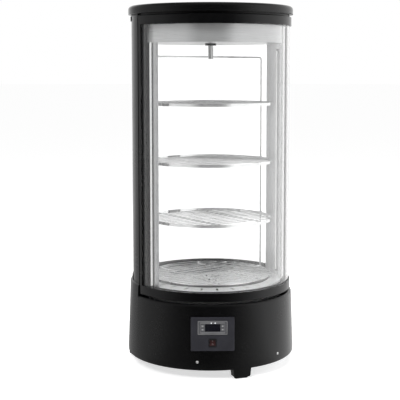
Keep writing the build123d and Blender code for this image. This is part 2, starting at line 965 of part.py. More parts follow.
def rack_frame():
    """Bent wire that runs through the shaft and down both sides of the shelves."""
    path = FilletPolyline(
        (-frame_reach, 0, frame_foot),
        (-frame_reach, 0, frame_top),
        (frame_reach, 0, frame_top),
        (frame_reach, 0, frame_foot),
        radius=frame_bend,
    )
    start = Plane(origin=(-frame_reach, 0, frame_foot), z_dir=(0, 0, 1))
    return sweep(start * Circle(frame_wire / 2), path=path)


def shelf(level):
    """Wire shelf in a flat steel hoop, with two cross wires under the grid."""
    middle = shelf_first + level * shelf_pitch
    half = shelf_band_height / 2
    body = ring(shelf_radius - shelf_band, shelf_radius, middle - half, middle + half)
    wire_height = middle + half - shelf_wire / 2 - 1
    reach = shelf_radius - shelf_band / 2
    wires_per_side = int((reach - 15) / shelf_wire_pitch)
    wires = []
    for i in range(2 * wires_per_side):
        y = (i - wires_per_side + 0.5) * shelf_wire_pitch
        length = 2 * sqrt(reach**2 - y**2)
        wires.append(Pos(0, y, wire_height) * Rot(0, 90, 0) * Cylinder(shelf_wire / 2, length))
    drop = (shelf_wire + shelf_cross_wire) / 2 - 0.4
    for x in (-shelf_cross_offset, shelf_cross_offset):
        length = 2 * sqrt(reach**2 - x**2)
        place = Pos(x, 0, wire_height - drop) * Rot(90, 0, 0)
        wires.append(place * Cylinder(shelf_cross_wire / 2, length))
    return body.fuse(*wires)


def shelf_clips():
    """Clip on each frame wire beside each shelf."""
    clips = []
    for level in range(shelf_count):
        middle = shelf_first + level * shelf_pitch
        half = shelf_band_height / 2
        barrel = disc(clip_radius, middle - half, middle + half, (frame_reach, 0))
        tongue_end = shelf_radius + 0.1
        tongue_length = frame_reach - tongue_end
        tongue = block(
            (tongue_length, clip_width, shelf_band_height),
            (tongue_end + tongue_length / 2, 0, middle),
        )
        bore = disc(frame_wire / 2 + 0.05, middle - 20, middle + 20, (frame_reach, 0))
        clip = barrel + tongue - bore
        clips.append(clip)
        clips.append(Rot(0, 0, 180) * clip)
    return Compound(clips)


# Rack drive above the ceiling
def shaft_bearing():
    """Flanged bearing under the ceiling with a spigot through it."""
    bearing = disc(bearing_radius, ceiling - bearing_drop, ceiling)
    bearing = fillet(bearing.edges().group_by(Axis.Z)[0], bearing_edge)
    bearing += disc(bearing_spigot, ceiling, bearing_top)
    return bearing - disc(shaft_bore, ceiling - bearing_drop - 1, bearing_top + 1)


def motor_bracket():
    """Bridge over the bearing that carries the gear motor."""
    middle = (drive_floor + gearbox_bottom) / 2
    bridge = block((bracket_length, bracket_width, bracket_height), (0, 0, middle))
    bridge -= block(
        (bracket_length - 2 * bracket_sheet, bracket_width + 2, bracket_height),
        (0, 0, middle - bracket_sheet),
    )
    feet = block(
        (bracket_length + 2 * bracket_foot, bracket_width, bracket_sheet),
        (0, 0, drive_floor + bracket_sheet / 2),
    )
    feet -= block((bracket_length - 1, bracket_width + 2, bracket_height), (0, 0, drive_floor))
    shaft_hole = disc(shaft_radius + bracket_sheet, drive_floor, gearbox_bottom + 1)
    return bridge + feet - shaft_hole


def gear_motor():
    """Flat gearbox with a small motor on it, turning the shaft."""
    outline = RectangleRounded(gearbox_length, gearbox_width, gearbox_corner)
    gearbox = Pos(gearbox_offset, 0, gearbox_bottom) * extrude(outline, gearbox_height)
    gearbox = fillet(gearbox.edges().group_by(Axis.Z)[-1], gearbox_edge)
    length = gearbox_width / 2 + motor_length
    middle = gearbox_bottom + gearbox_height / 2
    motor = Pos(motor_offset, length / 2, middle) * Rot(90, 0, 0) * Cylinder(motor_radius, length)
    return gearbox + motor - disc(shaft_bore, gearbox_bottom - 1, shaft_top + shaft_end_play)


# Control panel, drawn in its own plane with Z out of the panel
def panel_depth():
    """Depth of the tray, which sets its ears behind the curved wall."""
    wall = wall_radius(panel_centre)
    ear_edge = panel_width / 2 + panel_flange
    wall_fall = wall - sqrt((wall - base_wall) ** 2 - ear_edge**2)
    return panel_proud + wall_fall + panel_ear_gap + panel_sheet


def panel_place():
    """Place of the panel's face, leaning back with the base wall."""
    edge = panel_centre - panel_height / 2 * cos(radians(wall_lean))
    face = wall_radius(edge) + panel_proud
    back = panel_height / 2 * sin(radians(wall_lean))
    return Pos(0, back - face, panel_centre) * Rot(90 - wall_lean, 0, 0)


def rounded_plate(width, height, corner, bottom, top):
    """Plate with rounded corners between two depths."""
    return Pos(0, 0, bottom) * extrude(RectangleRounded(width, height, corner), top - bottom)


def control_panel():
    """Tray set through the base wall, with openings for the controller and the switch."""
    depth = panel_depth()
    tray = rounded_plate(panel_width, panel_height, panel_corner, -depth, 0)
    tray = chamfer(tray.edges().group_by(Axis.Z)[-1], panel_bevel)
    tray -= rounded_plate(
        panel_width - 2 * panel_sheet,
        panel_height - 2 * panel_sheet,
        panel_corner - panel_sheet / 2,
        -depth - 1,
        -panel_sheet,
    )
    ear = block(
        (panel_flange + panel_sheet, panel_height - 2 * panel_ear_inset, panel_sheet),
        ((panel_width + panel_flange - panel_sheet) / 2, 0, panel_sheet / 2 - depth),
    )
    tray += ear
    tray += mirrored(ear)
    width = controller_body_width + 2 * cutout_play
    height = controller_body_height + 2 * cutout_play
    tray -= block((width, height, 4 * panel_sheet), (0, controller_rise, 0))
    width = switch_width - 2 * switch_rim + 2 * cutout_play
    height = switch_height - 2 * switch_rim + 2 * cutout_play
    tray -= block((width, height, 4 * panel_sheet), (0, -switch_drop, 0))
    return panel_place() * tray


def key_centres():
    """Centres of the four keys beside the display window."""
    return {
        "key_set": (-key_across, controller_rise + key_apart / 2),
        "key_light": (-key_across, controller_rise - key_apart / 2),
        "key_up": (key_across, controller_rise + key_apart / 2),
        "key_down": (key_across, controller_rise - key_apart / 2),
    }


def controller_case():
    """Controller with a raised bezel, a window recess and four key pockets."""
    body = rounded_plate(bezel_width, bezel_height, bezel_corner, 0, bezel_proud)
    body = fillet(body.edges().group_by(Axis.Z)[-1], bezel_edge)
    body += rounded_plate(
        controller_body_width, controller_body_height, bezel_edge, -controller_depth, 0
    )
    seat = bezel_proud - window_sink - window_thickness
    body -= block(
        (window_width + 2 * window_play, window_height + 2 * window_play, 2 * window_thickness),
        (0, 0, seat + window_thickness),
    )
    body = Pos(0, controller_rise, 0) * body
    pocket_depth = key_depth + key_travel + key_end_gap
    for x, y in key_centres().values():
        body -= block(
            (key_width + 2 * key_play, key_height + 2 * key_play, 2 * pocket_depth),
            (x, y, bezel_proud),
        )
    return panel_place() * body


def controller_window():
    """Dark window over the display."""
    window = block(
        (window_width, window_height, window_thickness),
        (0, controller_rise, bezel_proud - window_sink - window_thickness / 2),
    )
    return panel_place() * window


def key(centre):
    """Press key with a soft edge."""
    x, y = centre
    height = key_depth + key_rise
    cap = block((key_width, key_height, height), (x, y, bezel_proud + key_rise - height / 2))
    cap = fillet(cap.edges().group_by(Axis.Z)[-1], key_edge)
    return panel_place() * cap


def rocker_axis():
    """Place of the rocker's pivot, with X along it."""
    return panel_place() * Pos(0, -switch_drop, -rocker_pivot_depth)


def rocker_radius():
    """Radius that the rocker's ends sweep."""
    rise = rocker_rise + rocker_half_height * tan(radians(rocker_tilt))
    return hypot(rocker_half_height, rise)


def switch_housing():
    """Switch body clipped into the panel, hollowed to the rocker's sweep."""
    body = rounded_plate(switch_width, switch_height, 1.5 * switch_rim, 0, switch_proud)
    body += rounded_plate(
        switch_width - 2 * switch_rim, switch_height - 2 * switch_rim, 0.5, -switch_depth, 0
    )
    body = Pos(0, -switch_drop, 0) * body
    width = rocker_width + 2 * rocker_play
    pocket = Pos(0, -switch_drop, -rocker_pivot_depth) * Rot(0, 90, 0)
    body -= pocket * Cylinder(rocker_radius() + rocker_play, width)
    body -= pocket * Cylinder(trunnion_radius + running_play, width + 2 * trunnion_length)
    return panel_place() * body


def power_switch():
    """Rocker with a shallow valley across it, resting with its upper half down."""
    roll = Rot(0, 90, 0) * Cylinder(rocker_radius(), rocker_width)
    drop = rocker_radius() * 2
    rise = rocker_rise + drop * tan(radians(rocker_tilt))
    outline = Polyline(
        (-drop, rise), (0, rocker_rise), (drop, rise), (drop, -drop), (-drop, -drop), close=True
    )
    keep = extrude(Plane.YZ * make_face(outline), rocker_width, both=True)
    rocker = roll & keep
    pin_length = rocker_width + 2 * (trunnion_length - trunnion_end_play)
    rocker += Rot(0, 90, 0) * Cylinder(trunnion_radius, pin_length)
    return rocker_axis() * Rot(-rocker_tilt, 0, 0) * rocker


# Cooling unit in the base
def insulation_tub():
    """Foam tub under the cabinet floor that holds the evaporator."""
    top = floor_top - sheet
    tub = disc(seat_radius - sheet - tub_play, shoulder + sheet, top)
    tub += disc(tub_radius, tub_bottom, shoulder + sheet)
    return tub - disc(tub_inner, tub_floor, top + 1)


def finned_block(size):
    """Heat exchanger core with open fins on both faces."""
    length, depth, height = size
    core = Box(length, depth, height)
    count = int((length - 2 * fin_thickness) / fin_pitch)
    for i in range(count):
        x = (i - (count - 1) / 2) * fin_pitch
        for side in (-1, 1):
            y = side * (depth - fin_depth) / 2
            gap = Box(fin_pitch - fin_thickness, fin_depth, height - 2 * fin_plate)
            core -= Pos(x, y, 0) * gap
    return core


def fan_rotor():
    """Fan wheel with a hub and pitched blades, drawn about Z."""
    hub = fillet(Cylinder(fan_hub_radius, fan_depth).edges().group_by(Axis.Z)[-1], fan_hub_edge)
    root = fan_hub_radius - fan_blade_root
    reach = fan_radius - root
    chord = fan_blade_share * fan_depth / sin(radians(fan_pitch_angle))
    blade = Box(reach, fan_blade_thickness, chord)
    blade = Pos(root + reach / 2, 0, 0) * Rot(90 - fan_pitch_angle, 0, 0) * blade
    blades = [Rot(0, 0, i * 360 / fan_blades) * blade for i in range(fan_blades)]
    wheel = hub.fuse(*blades) & Cylinder(fan_radius, fan_depth)
    bore = Cylinder(fan_shaft_radius + running_play, fan_depth)
    return wheel - Pos(0, 0, -fan_hub_face) * bore


def fan_carrier():
    """Ring, four arms, motor and shaft that carry a fan wheel, drawn about Z."""
    inner = fan_radius + fan_clearance
    half = fan_ring_depth / 2
    carrier = Cylinder(inner + fan_ring_wall, fan_ring_depth) - Cylinder(inner, fan_ring_depth + 1)
    for angle in (0, 90):
        arms = Box(2 * inner + fan_ring_wall, fan_strut, fan_strut)
        carrier += Rot(0, 0, angle) * (Pos(0, 0, fan_strut / 2 - half) * arms)
    motor_top = fan_strut - half
    carrier += disc(fan_motor_radius, motor_top - fan_motor_length, motor_top)
    return carrier + disc(fan_shaft_radius, motor_top, half - fan_shaft_gap)


def fan_wheel_lift():
    """Height of the wheel's middle above the carrier's middle."""
    return fan_ring_depth / 2 - fan_depth / 2 - fan_wheel_gap


def condenser():
    """Finned block that stands on the bottom pan behind the louvres."""
    return Pos(0, condenser_back, condenser_middle) * finned_block(condenser_size)


def condenser_fan_place():
    """Place of the condenser fan, with its Z towards the louvres."""
    front = condenser_back - condenser_size[1] / 2 - shroud_gap - fan_ring_depth / 2
    return Pos(0, front, condenser_middle) * Rot(-90, 0, 0)


def condenser_shroud():
    """Sheet duct from the condenser to the fan ring, with the ring and motor on it."""
    length, depth, height = condenser_size
    duct_middle = condenser_back - (depth + shroud_gap) / 2
    duct = block((length, shroud_gap, height), (0, duct_middle, condenser_middle))
    duct -= block(
        (length - 2 * shroud_sheet, shroud_gap, height - 2 * shroud_sheet),
        (0, duct_middle + shroud_sheet, condenser_middle),
    )
    hole = Rot(90, 0, 0) * Cylinder(fan_radius + fan_clearance, 2 * shroud_gap)
    duct -= Pos(0, duct_middle - shroud_gap / 2, condenser_middle) * hole
    return duct + condenser_fan_place() * fan_carrier()


def condenser_fan():
    """Wheel that draws room air through the condenser."""
    return condenser_fan_place() * Pos(0, 0, fan_wheel_lift()) * fan_rotor()


def evaporator():
    """Finned block in the foam tub, as far back as its corners let it go."""
    size = (evaporator_length, evaporator_depth, evaporator_height)
    return Pos(0, evaporator_back, tub_floor + evaporator_height / 2) * finned_block(size)


def circulation_fan_place():
    """Place of the fan that blows cold air up through the floor."""
    return Pos(0, fan_centre, fan_ring_top - fan_ring_depth / 2)


def circulation_fan_frame():
    """Fan ring and motor on three posts in the tub."""
    carrier = circulation_fan_place() * fan_carrier()
    top = fan_ring_top - fan_ring_depth / 2
    for i in range(3):
        x, y = at_angle(fan_radius + fan_clearance + fan_post, 45 + 90 * i)
        carrier += disc(fan_post, tub_floor, top, (x, fan_centre + y))
    return carrier


def circulation_fan():
    """Wheel of the circulation fan."""
    return circulation_fan_place() * Pos(0, 0, fan_wheel_lift()) * fan_rotor()


def compressor():
    """Sealed compressor can on a foot plate."""
    x, y = compressor_place
    length, width, thickness = compressor_foot
    bottom = pan_floor + mount_height
    can = disc(compressor_radius, bottom + thickness, bottom + compressor_height, (x, y))
    can = fillet(can.edges().group_by(Axis.Z)[-1], compressor_dome)
    foot = Pos(x, y, bottom) * extrude(RectangleRounded(length, width, mount_radius), thickness)
    for place in mount_places():
        foot -= disc(mount_neck, bottom - 1, bottom + thickness + 1, place)
    return can + foot


def mount_places():
    """Centres of the four rubber mounts."""
    x, y = compressor_place
    dx = compressor_foot[0] / 2 - mount_inset
    dy = compressor_foot[1] / 2 - mount_inset
    return [(x - dx, y - dy), (x + dx, y - dy), (x - dx, y + dy), (x + dx, y + dy)]


def compressor_mounts():
    """Rubber mounts between the compressor and the bottom pan."""
    seat = pan_floor + mount_height
    neck_top = seat + compressor_foot[2] + mount_cap
    mounts = []
    for place in mount_places():
        rubber = disc(mount_radius, pan_floor, seat, place)
        rubber += disc(mount_neck - mount_neck_play, pan_floor, neck_top, place)
        mounts.append(rubber)
    return Compound(mounts)


def power_inlet():
    """Appliance inlet in the rear shell, with its three pins."""
    width, height = inlet_size
    seat = wall_radius(inlet_height - height / 2)
    body_width = width - 2 * inlet_rim
    body_height = height - 2 * inlet_rim
    inlet = rounded_plate(width, height, inlet_rim, 0, inlet_proud)
    inlet += rounded_plate(body_width, body_height, inlet_rim / 2, -inlet_depth, 0)
    inlet -= rounded_plate(
        body_width - 2 * inlet_wall,
        body_height - 2 * inlet_wall,
        inlet_rim / 2,
        inlet_wall - inlet_depth,
        inlet_proud + 1,
    )
    for x, y in inlet_pins:
        pin = extrude(Rectangle(2, 4), inlet_pin_length)
        inlet += Pos(x, y, inlet_wall - inlet_depth) * pin
    place = Pos(0, -seat, inlet_height) * Rot(90, 0, 0)
    return Rot(0, 0, inlet_angle) * place * inlet


def build():
    """Write every piece."""
    os.makedirs("parts", exist_ok=True)
    facing = (
        base_front_shell, base_rear_shell, foot_pads, bottom_pan, case_screws, cabinet_floor,
        rear_glass_outer, rear_glass_inner, rear_glass_spacer, rear_bottom_channel,
        rear_top_channel, top_frame, top_cap, light_bars, ceiling_drum, door_bottom_rail,
        door_top_rail, closing_stile, hinge_stile, door_glass_outer, door_glass_inner,
        door_glass_spacer, door_gasket, hinge_plates, hinge_pins, hinge_bushes, shaft_bearing,
        motor_bracket, gear_motor, insulation_tub, condenser, condenser_shroud, condenser_fan,
        evaporator, circulation_fan_frame, circulation_fan, compressor, compressor_mounts,
        power_inlet,
    )
    for piece in facing:
        save(piece.__name__, piece())
    for name, piece in (("column", column()), ("lining", lining())):
        save(f"right_{name}", piece)
        save(f"left_{name}", mirrored(piece))
    for piece in (control_panel, controller_case, controller_window, switch_housing, power_switch):
        save(piece.__name__, piece(), turn=0)
    for name, centre in key_centres().items():
        save(name, key(centre), turn=0)
    for piece in (rack_shaft, rack_screw, rack_frame, shelf_clips):
        save(piece.__name__, piece(), turn=rack_turn)
    for level in range(shelf_count):
        save(f"shelf_{level + 1}", shelf(level), turn=rack_turn)


build()
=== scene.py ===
import math

import bmesh
import bpy
from mathutils import Matrix, Vector


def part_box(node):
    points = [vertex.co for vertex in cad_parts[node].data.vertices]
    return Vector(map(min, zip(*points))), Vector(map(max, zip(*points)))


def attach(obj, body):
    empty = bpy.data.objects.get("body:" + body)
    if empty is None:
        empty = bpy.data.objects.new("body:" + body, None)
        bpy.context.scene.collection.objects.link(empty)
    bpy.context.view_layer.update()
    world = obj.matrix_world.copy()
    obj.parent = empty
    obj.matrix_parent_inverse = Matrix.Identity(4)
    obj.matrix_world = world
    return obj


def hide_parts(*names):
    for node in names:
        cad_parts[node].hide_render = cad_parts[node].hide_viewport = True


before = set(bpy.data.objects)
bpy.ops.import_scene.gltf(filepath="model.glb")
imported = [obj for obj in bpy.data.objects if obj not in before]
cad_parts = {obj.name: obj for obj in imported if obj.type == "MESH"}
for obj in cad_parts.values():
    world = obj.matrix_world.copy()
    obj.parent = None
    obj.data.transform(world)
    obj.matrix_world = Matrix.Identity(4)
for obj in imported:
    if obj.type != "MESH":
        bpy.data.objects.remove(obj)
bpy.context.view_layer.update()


# a node socket that Python expressions can be written with
class Wire:
    def __init__(self, recipe, socket):
        self.recipe = recipe
        self.socket = socket

    def maths(self, operation, other):
        return self.recipe.maths(operation, self, other)

    def __add__(self, other):
        return self.maths("ADD", other)

    def __radd__(self, other):
        return self.recipe.maths("ADD", other, self)

    def __sub__(self, other):
        return self.maths("SUBTRACT", other)

    def __rsub__(self, other):
        return self.recipe.maths("SUBTRACT", other, self)

    def __mul__(self, other):
        return self.maths("MULTIPLY", other)

    def __rmul__(self, other):
        return self.recipe.maths("MULTIPLY", other, self)

    def __truediv__(self, other):
        return self.maths("DIVIDE", other)

    def __pow__(self, other):
        return self.maths("POWER", other)

    def __gt__(self, other):
        return self.maths("GREATER_THAN", other)

    def __lt__(self, other):
        return self.maths("LESS_THAN", other)


class Recipe:
    # the node tree of one material or of the world
    def __init__(self, tree):
        self.tree = tree
        tree.nodes.clear()

    # makes any node: its settings first, then the values or links of its sockets
    def add(self, kind, settings=None, sockets=None):
        node = self.tree.nodes.new(kind)
        for key, value in (settings or {}).items():
            setattr(node, key, value)
        for key, value in (sockets or {}).items():
            if isinstance(value, Wire):
                self.tree.links.new(value.socket, node.inputs[key])
            else:
                node.inputs[key].default_value = value
        return node

    def wire(self, node, output=0):
        return Wire(self, node.outputs[output])

    def maths(self, operation, *values):
        return self.wire(self.add("ShaderNodeMath", {"operation": operation}, dict(enumerate(values))))

    def place(self):
        return self.wire(self.add("ShaderNodeTexCoord"), "Object")

    def parts(self, vector):
        node = self.add("ShaderNodeSeparateXYZ", sockets={0: vector})
        return [self.wire(node, i) for i in range(3)]

    def join(self, x, y, z):
        return self.wire(self.add("ShaderNodeCombineXYZ", sockets={0: x, 1: y, 2: z}))

    def noise(self, vector, scale, detail=2.0, rough=0.5):
        sockets = {"Vector": vector, "Scale": scale, "Detail": detail, "Roughness": rough}
        return self.wire(self.add("ShaderNodeTexNoise", sockets=sockets), 0)

    def spread(self, value, low, high, newLow=0.0, newHigh=1.0):
        sockets = {0: value, 1: low, 2: high, 3: newLow, 4: newHigh}
        return self.wire(self.add("ShaderNodeMapRange", sockets=sockets))

    def mix(self, share, first, second):
        sockets = {0: share, 6: first, 7: second}
        return self.wire(self.add("ShaderNodeMix", {"data_type": "RGBA"}, sockets), 2)

    def bump(self, height, distance, strength=1.0):
        sockets = {"Height": height, "Distance": distance, "Strength": strength}
        return self.wire(self.add("ShaderNodeBump", sockets=sockets))

    def blend(self, share, first, second):
        return self.wire(self.add("ShaderNodeMixShader", sockets={0: share, 1: first, 2: second}))

    def finish(self, sockets):
        return self.wire(self.add("ShaderNodeBsdfPrincipled", sockets=sockets))

    def out(self, shader, kind="ShaderNodeOutputMaterial"):
        self.add(kind, sockets={0: shader})


def newMaterial(name):
    material = bpy.data.materials.new(name)
    material.use_nodes = True
    return material, Recipe(material.node_tree)


# a Geometry Nodes tree with named sizes that ends as one plain mesh
class ShapeRecipe(Recipe):
    def __init__(self, name):
        group = bpy.data.node_groups.new(name, "GeometryNodeTree")
        super().__init__(group)
        group.interface.new_socket("Shape", in_out="OUTPUT", socket_type="NodeSocketGeometry")
        self.start = group.nodes.new("NodeGroupInput")
        self.values = {}

    def size(self, name, value):
        kind = "NodeSocketInt" if isinstance(value, int) else "NodeSocketFloat"
        socket = self.tree.interface.new_socket(name, in_out="INPUT", socket_type=kind)
        self.values[socket.identifier] = value
        return Wire(self, self.start.outputs[name])

    def sizes(self, table):
        return {name: self.size(name, value) for name, value in table.items()}

    def node(self, kind, settings=None, **sockets):
        named = {key.replace("_", " "): value for key, value in sockets.items()}
        return self.wire(self.add("GeometryNode" + kind, settings, named))

    def index(self):
        return self.node("InputIndex")

    def position(self):
        return self.parts(self.node("InputPosition"))

    def moved(self, shape, place=(0, 0, 0), turn=(0, 0, 0), scale=(1, 1, 1)):
        return self.node("Transform", Geometry=shape, Translation=place, Rotation=turn, Scale=scale)

    def repeat(self, shape, count, place, turn=(0, 0, 0), scale=(1, 1, 1)):
        points = self.node("Points", Count=count, Position=place)
        return self.node("InstanceOnPoints", Points=points, Instance=shape, Rotation=turn, Scale=scale)

    def together(self, *shapes):
        join = self.add("GeometryNodeJoinGeometry")
        for shape in shapes:
            self.tree.links.new(shape.socket, join.inputs[0])
        return self.wire(join)

    def cut(self, shape, *tools):
        node = self.add("GeometryNodeMeshBoolean", {"operation": "DIFFERENCE"}, {0: shape})
        for tool in tools:
            self.tree.links.new(tool.socket, node.inputs[1])
        return self.wire(node)

    # ball with its upper half pressed down to the rise and its lower half flat
    def dome(self, segments, rings, radius, rise):
        ball = self.node("MeshUVSphere", Segments=segments, Rings=rings, Radius=radius)
        x, y, z = self.position()
        lifted = self.maths("MAXIMUM", z, 0.0) * (rise / radius)
        return self.node("SetPosition", Geometry=ball, Position=self.join(x, y, lifted))

    def painted(self, shape, material):
        return self.node("SetMaterial", Geometry=shape, Material=material)

    def make(self, name, shape, smooth=35):
        self.add("NodeGroupOutput", sockets={0: self.node("RealizeInstances", Geometry=shape)})
        piece = bpy.data.objects.new(name, bpy.data.meshes.new(name))
        bpy.context.scene.collection.objects.link(piece)
        modifier = piece.modifiers.new("shape", "NODES")
        modifier.node_group = self.tree
        for identifier, value in self.values.items():
            modifier[identifier] = value
        evaluated = piece.evaluated_get(bpy.context.evaluated_depsgraph_get())
        mesh = bpy.data.meshes.new_from_object(evaluated)
        piece.modifiers.clear()
        piece.data = mesh
        mesh.shade_smooth()
        mesh.set_sharp_from_angle(angle=math.radians(smooth))
        return piece


# the photograph's viewpoint, in metres, degrees and pixels
cameraView = {
    "frame": 400,
    "sensor": 36.0,
    "distance": 3.1031,
    "height": 0.8802,
    "turn": -1.3,
    "pitch": 5.6,
    "pixels": 1027.53,
    "axisPixel": 210.63,
    "horizonPixel": 69.5,
}


def makeCamera(view):
    data = bpy.data.cameras.new("camera")
    half = view["frame"] / 2
    data.sensor_width = view["sensor"]
    data.lens = view["pixels"] / view["frame"] * view["sensor"]
    middle = half - view["pixels"] * math.tan(math.radians(view["pitch"]))
    data.shift_x = (half - view["axisPixel"]) / view["frame"]
    data.shift_y = (view["horizonPixel"] - middle) / view["frame"]
    data.dof.use_dof = False
    camera = bpy.data.objects.new("camera", data)
    turn = math.radians(view["turn"])
    camera.location = (view["distance"] * math.sin(turn), -view["distance"] * math.cos(turn), view["height"])
    camera.rotation_euler = (math.radians(90 - view["pitch"]), 0, turn)
    bpy.context.scene.collection.objects.link(camera)
    bpy.context.scene.camera = camera
    print("camera: lens", round(data.lens, 1), "shift", round(data.shift_x, 3), round(data.shift_y, 3))


makeCamera(cameraView)
bpy.context.scene.view_settings.view_transform = "Standard"


# white backdrop, pale floor and soft lamps
studio = {
    "dayLevel": 0.5,
    "mirrorFront": 0.012,
    "insideFront": 0.3,
    "insideFrom": -0.78,
    "insideTo": -0.95,
    "mirrorBack": 1.0,
    "mirrorTop": 0.3,
    "mirrorLeft": 0.4,
    "insideLeft": 0.5,
    "leftFrom": -0.15,
    "leftTo": -0.55,
    "leftEnd": (0.96, 0.7),
    "topFrom": 0.35,
    "topTo": 0.8,
    "throughGlass": 1.33,
    "darkFrom": -0.3,
    "darkTo": -0.9,
    "floorLift": 0.58,
    "floorColour": (0.8, 0.8, 0.8, 1),
    "floorReach": 60,
    "floorDrop": 0.0005,
    "lampAim": (0, 0, 0.5),
    "lamps": (
        # name, place, width, height, watts
        ("keyLamp", (-1.5, -2.3, 2.6), 1.6, 1.2, 60),
        ("fillLamp", (2.6, -1.2, 1.5), 0.9, 2.2, 28),
        ("topLamp", (0.2, 0.4, 3.2), 1.8, 1.8, 40),
        ("backLamp", (-1.0, 2.6, 1.8), 1.8, 1.4, 30),
    ),
}


# the room that gloss and glass show: white behind and above the case, dark in front of it
def roomLevel(recipe, set, side, forward, rise, through):
    front = recipe.spread(forward, set["darkTo"], set["darkFrom"], set["mirrorFront"], set["mirrorBack"])
    inside = recipe.spread(forward, set["insideTo"], set["insideFrom"], set["insideFront"], set["mirrorBack"])
    front = front + (inside - front) * through
    left = recipe.spread(side, set["leftFrom"], set["leftTo"]) * recipe.spread(forward, *set["leftEnd"])
    wall = front * (1 - left * (1 - through * set["insideLeft"]) * (1 - set["mirrorLeft"]))
    top = recipe.spread(rise, set["topFrom"], set["topTo"])
    return wall * (1 - top * (1 - set["mirrorTop"]))


# straight is a ray that has only passed through glass since it left the camera
def rayKinds(recipe):
    rays = recipe.add("ShaderNodeLightPath")
    kinds = ("Is Camera Ray", "Is Glossy Ray", "Is Transmission Ray")
    camera, glossy, through = [recipe.wire(rays, name) for name in kinds]
    bounces = recipe.wire(rays, "Glossy Depth") + recipe.wire(rays, "Diffuse Depth")
    straight = through * (bounces < 0.5)
    return camera, glossy, through, straight


def makeWorld(set):
    world = bpy.data.worlds.new("studio")
    world.use_nodes = True
    bpy.context.scene.world = world
    recipe = Recipe(world.node_tree)
    camera, glossy, through, straight = rayKinds(recipe)
    direction = recipe.wire(recipe.add("ShaderNodeTexCoord"), "Generated")
    side, forward, rise = recipe.parts(direction)
    room = roomLevel(recipe, set, side, forward, rise, through)
    room = room + (1 - room) * straight
    room = room * (1 + through * (set["throughGlass"] - 1))
    shown = recipe.maths("MAXIMUM", glossy, through)
    level = camera + (1 - camera) * (shown * room + (1 - shown) * set["dayLevel"])
    light = recipe.add("ShaderNodeBackground", sockets={0: (1, 1, 1, 1), 1: level})
    recipe.out(recipe.wire(light), "ShaderNodeOutputWorld")


def makeLamps(set):
    for name, place, width, height, watts in set["lamps"]:
        data = bpy.data.lights.new(name, "AREA")
        data.shape = "RECTANGLE"
        data.size = width
        data.size_y = height
        data.energy = watts
        lamp = bpy.data.objects.new(name, data)
        lamp.location = place
        lamp.visible_glossy = False
        lamp.visible_transmission = False
        lamp.visible_camera = False
        aim = Vector(set["lampAim"]) - Vector(place)
        lamp.rotation_euler = aim.to_track_quat("-Z", "Y").to_euler()
        bpy.context.scene.collection.objects.link(lamp)


def makeFloor(set):
    mesh = bpy.data.meshes.new("studioFloor")
    build = bmesh.new()
    bmesh.ops.create_circle(build, cap_ends=True, segments=96, radius=set["floorReach"])
    build.to_mesh(mesh)
    build.free()
    floor = bpy.data.objects.new("studioFloor", mesh)
    floor.location.z = -set["floorDrop"]
    bpy.context.scene.collection.objects.link(floor)
    material, recipe = newMaterial("paper floor")
    camera, glossy, through, straight = rayKinds(recipe)
    paper = recipe.finish({
        "Base Color": set["floorColour"],
        "Roughness": 0.9,
        "Specular IOR Level": 0.0,
        "Emission Color": camera * set["floorLift"],
        "Emission Strength": 1.0,
    })
    x, y, _ = recipe.parts(recipe.place())
    reach = (x * x + y * y) ** 0.5 + 0.06  # keeps the middle of the floor from dividing by nothing
    room = roomLevel(recipe, set, x / reach, y / reach, 0.0, through)
    room = room + (1 - room) * straight
    room = room * (1 + through * (set["throughGlass"] - 1))
    glow = recipe.wire(recipe.add("ShaderNodeEmission", sockets={0: (1, 1, 1, 1), 1: room}))
    recipe.out(recipe.blend(recipe.maths("MAXIMUM", glossy, through), paper, glow))
    mesh.materials.append(material)


makeWorld(studio)
makeLamps(studio)
makeFloor(studio)
print("studio ready")


# in the finishes a scale counts noise cells per metre, and a band is where that noise sets in
# black moulded plastic of the base, the cap and the door frame
blackShell = {
    "colour": (0.0026, 0.0026, 0.0028),
    "rubbed": (0.0048, 0.0048, 0.005),
    "rough": 0.24,
    "specular": 0.42,
    "wideScale": 9.0,
    "fineScale": 160.0,
    "wideShare": 0.6,
    "wornBand": (0.42, 0.68),
    "wornRough": 0.07,
    "fineRough": 0.04,
    "peelScale": 420.0,
    "peelDepth": 0.00002,
}


def makeBlackShell(name, set):
    material, recipe = newMaterial(name)
    place = recipe.place()
    wide = recipe.noise(place, set["wideScale"], 3.0)
    fine = recipe.noise(place, set["fineScale"], 3.0)
    peel = recipe.noise(place, set["peelScale"], 2.0)
    worn = recipe.spread(wide * set["wideShare"] + fine * (1 - set["wideShare"]), *set["wornBand"])
    rough = set["rough"] + (worn - 0.5) * set["wornRough"] + (fine - 0.5) * set["fineRough"]
    recipe.out(recipe.finish({
        "Base Color": recipe.mix(worn, (*set["colour"], 1), (*set["rubbed"], 1)),
        "Roughness": rough,
        "Specular IOR Level": set["specular"],
        "Normal": recipe.bump(peel, set["peelDepth"]),
    }))
    return material


steelSheet = {
    "colour": (0.66, 0.66, 0.664),
    "dull": (0.56, 0.56, 0.564),
    "rough": 0.3,
    "metal": 0.5,
    "lineBand": (0.3, 0.7),
    "lineRough": 0.16,
    "lineDepth": 0.00002,
    "lineStrength": 0.35,
    "wideScale": 6.0,
    "wideRough": 0.06,
    "seat": 0.2124,
    "seatColour": (0.008, 0.008, 0.008, 1),
}
hingeSteel = dict(steelSheet, colour=(0.5, 0.5, 0.51), dull=(0.36, 0.36, 0.37), rough=0.32, metal=1.0)
floorSheet = dict(steelSheet, colour=(0.95, 0.95, 0.955), dull=(0.82, 0.82, 0.825), metal=0.12)


# brushed lines run round the case, up it, or straight across it
brushStretch = {"round": (2.0, 900.0, 40.0), "up": (220.0, 2.2, 60.0), "across": (4.0, 900.0, 900.0)}


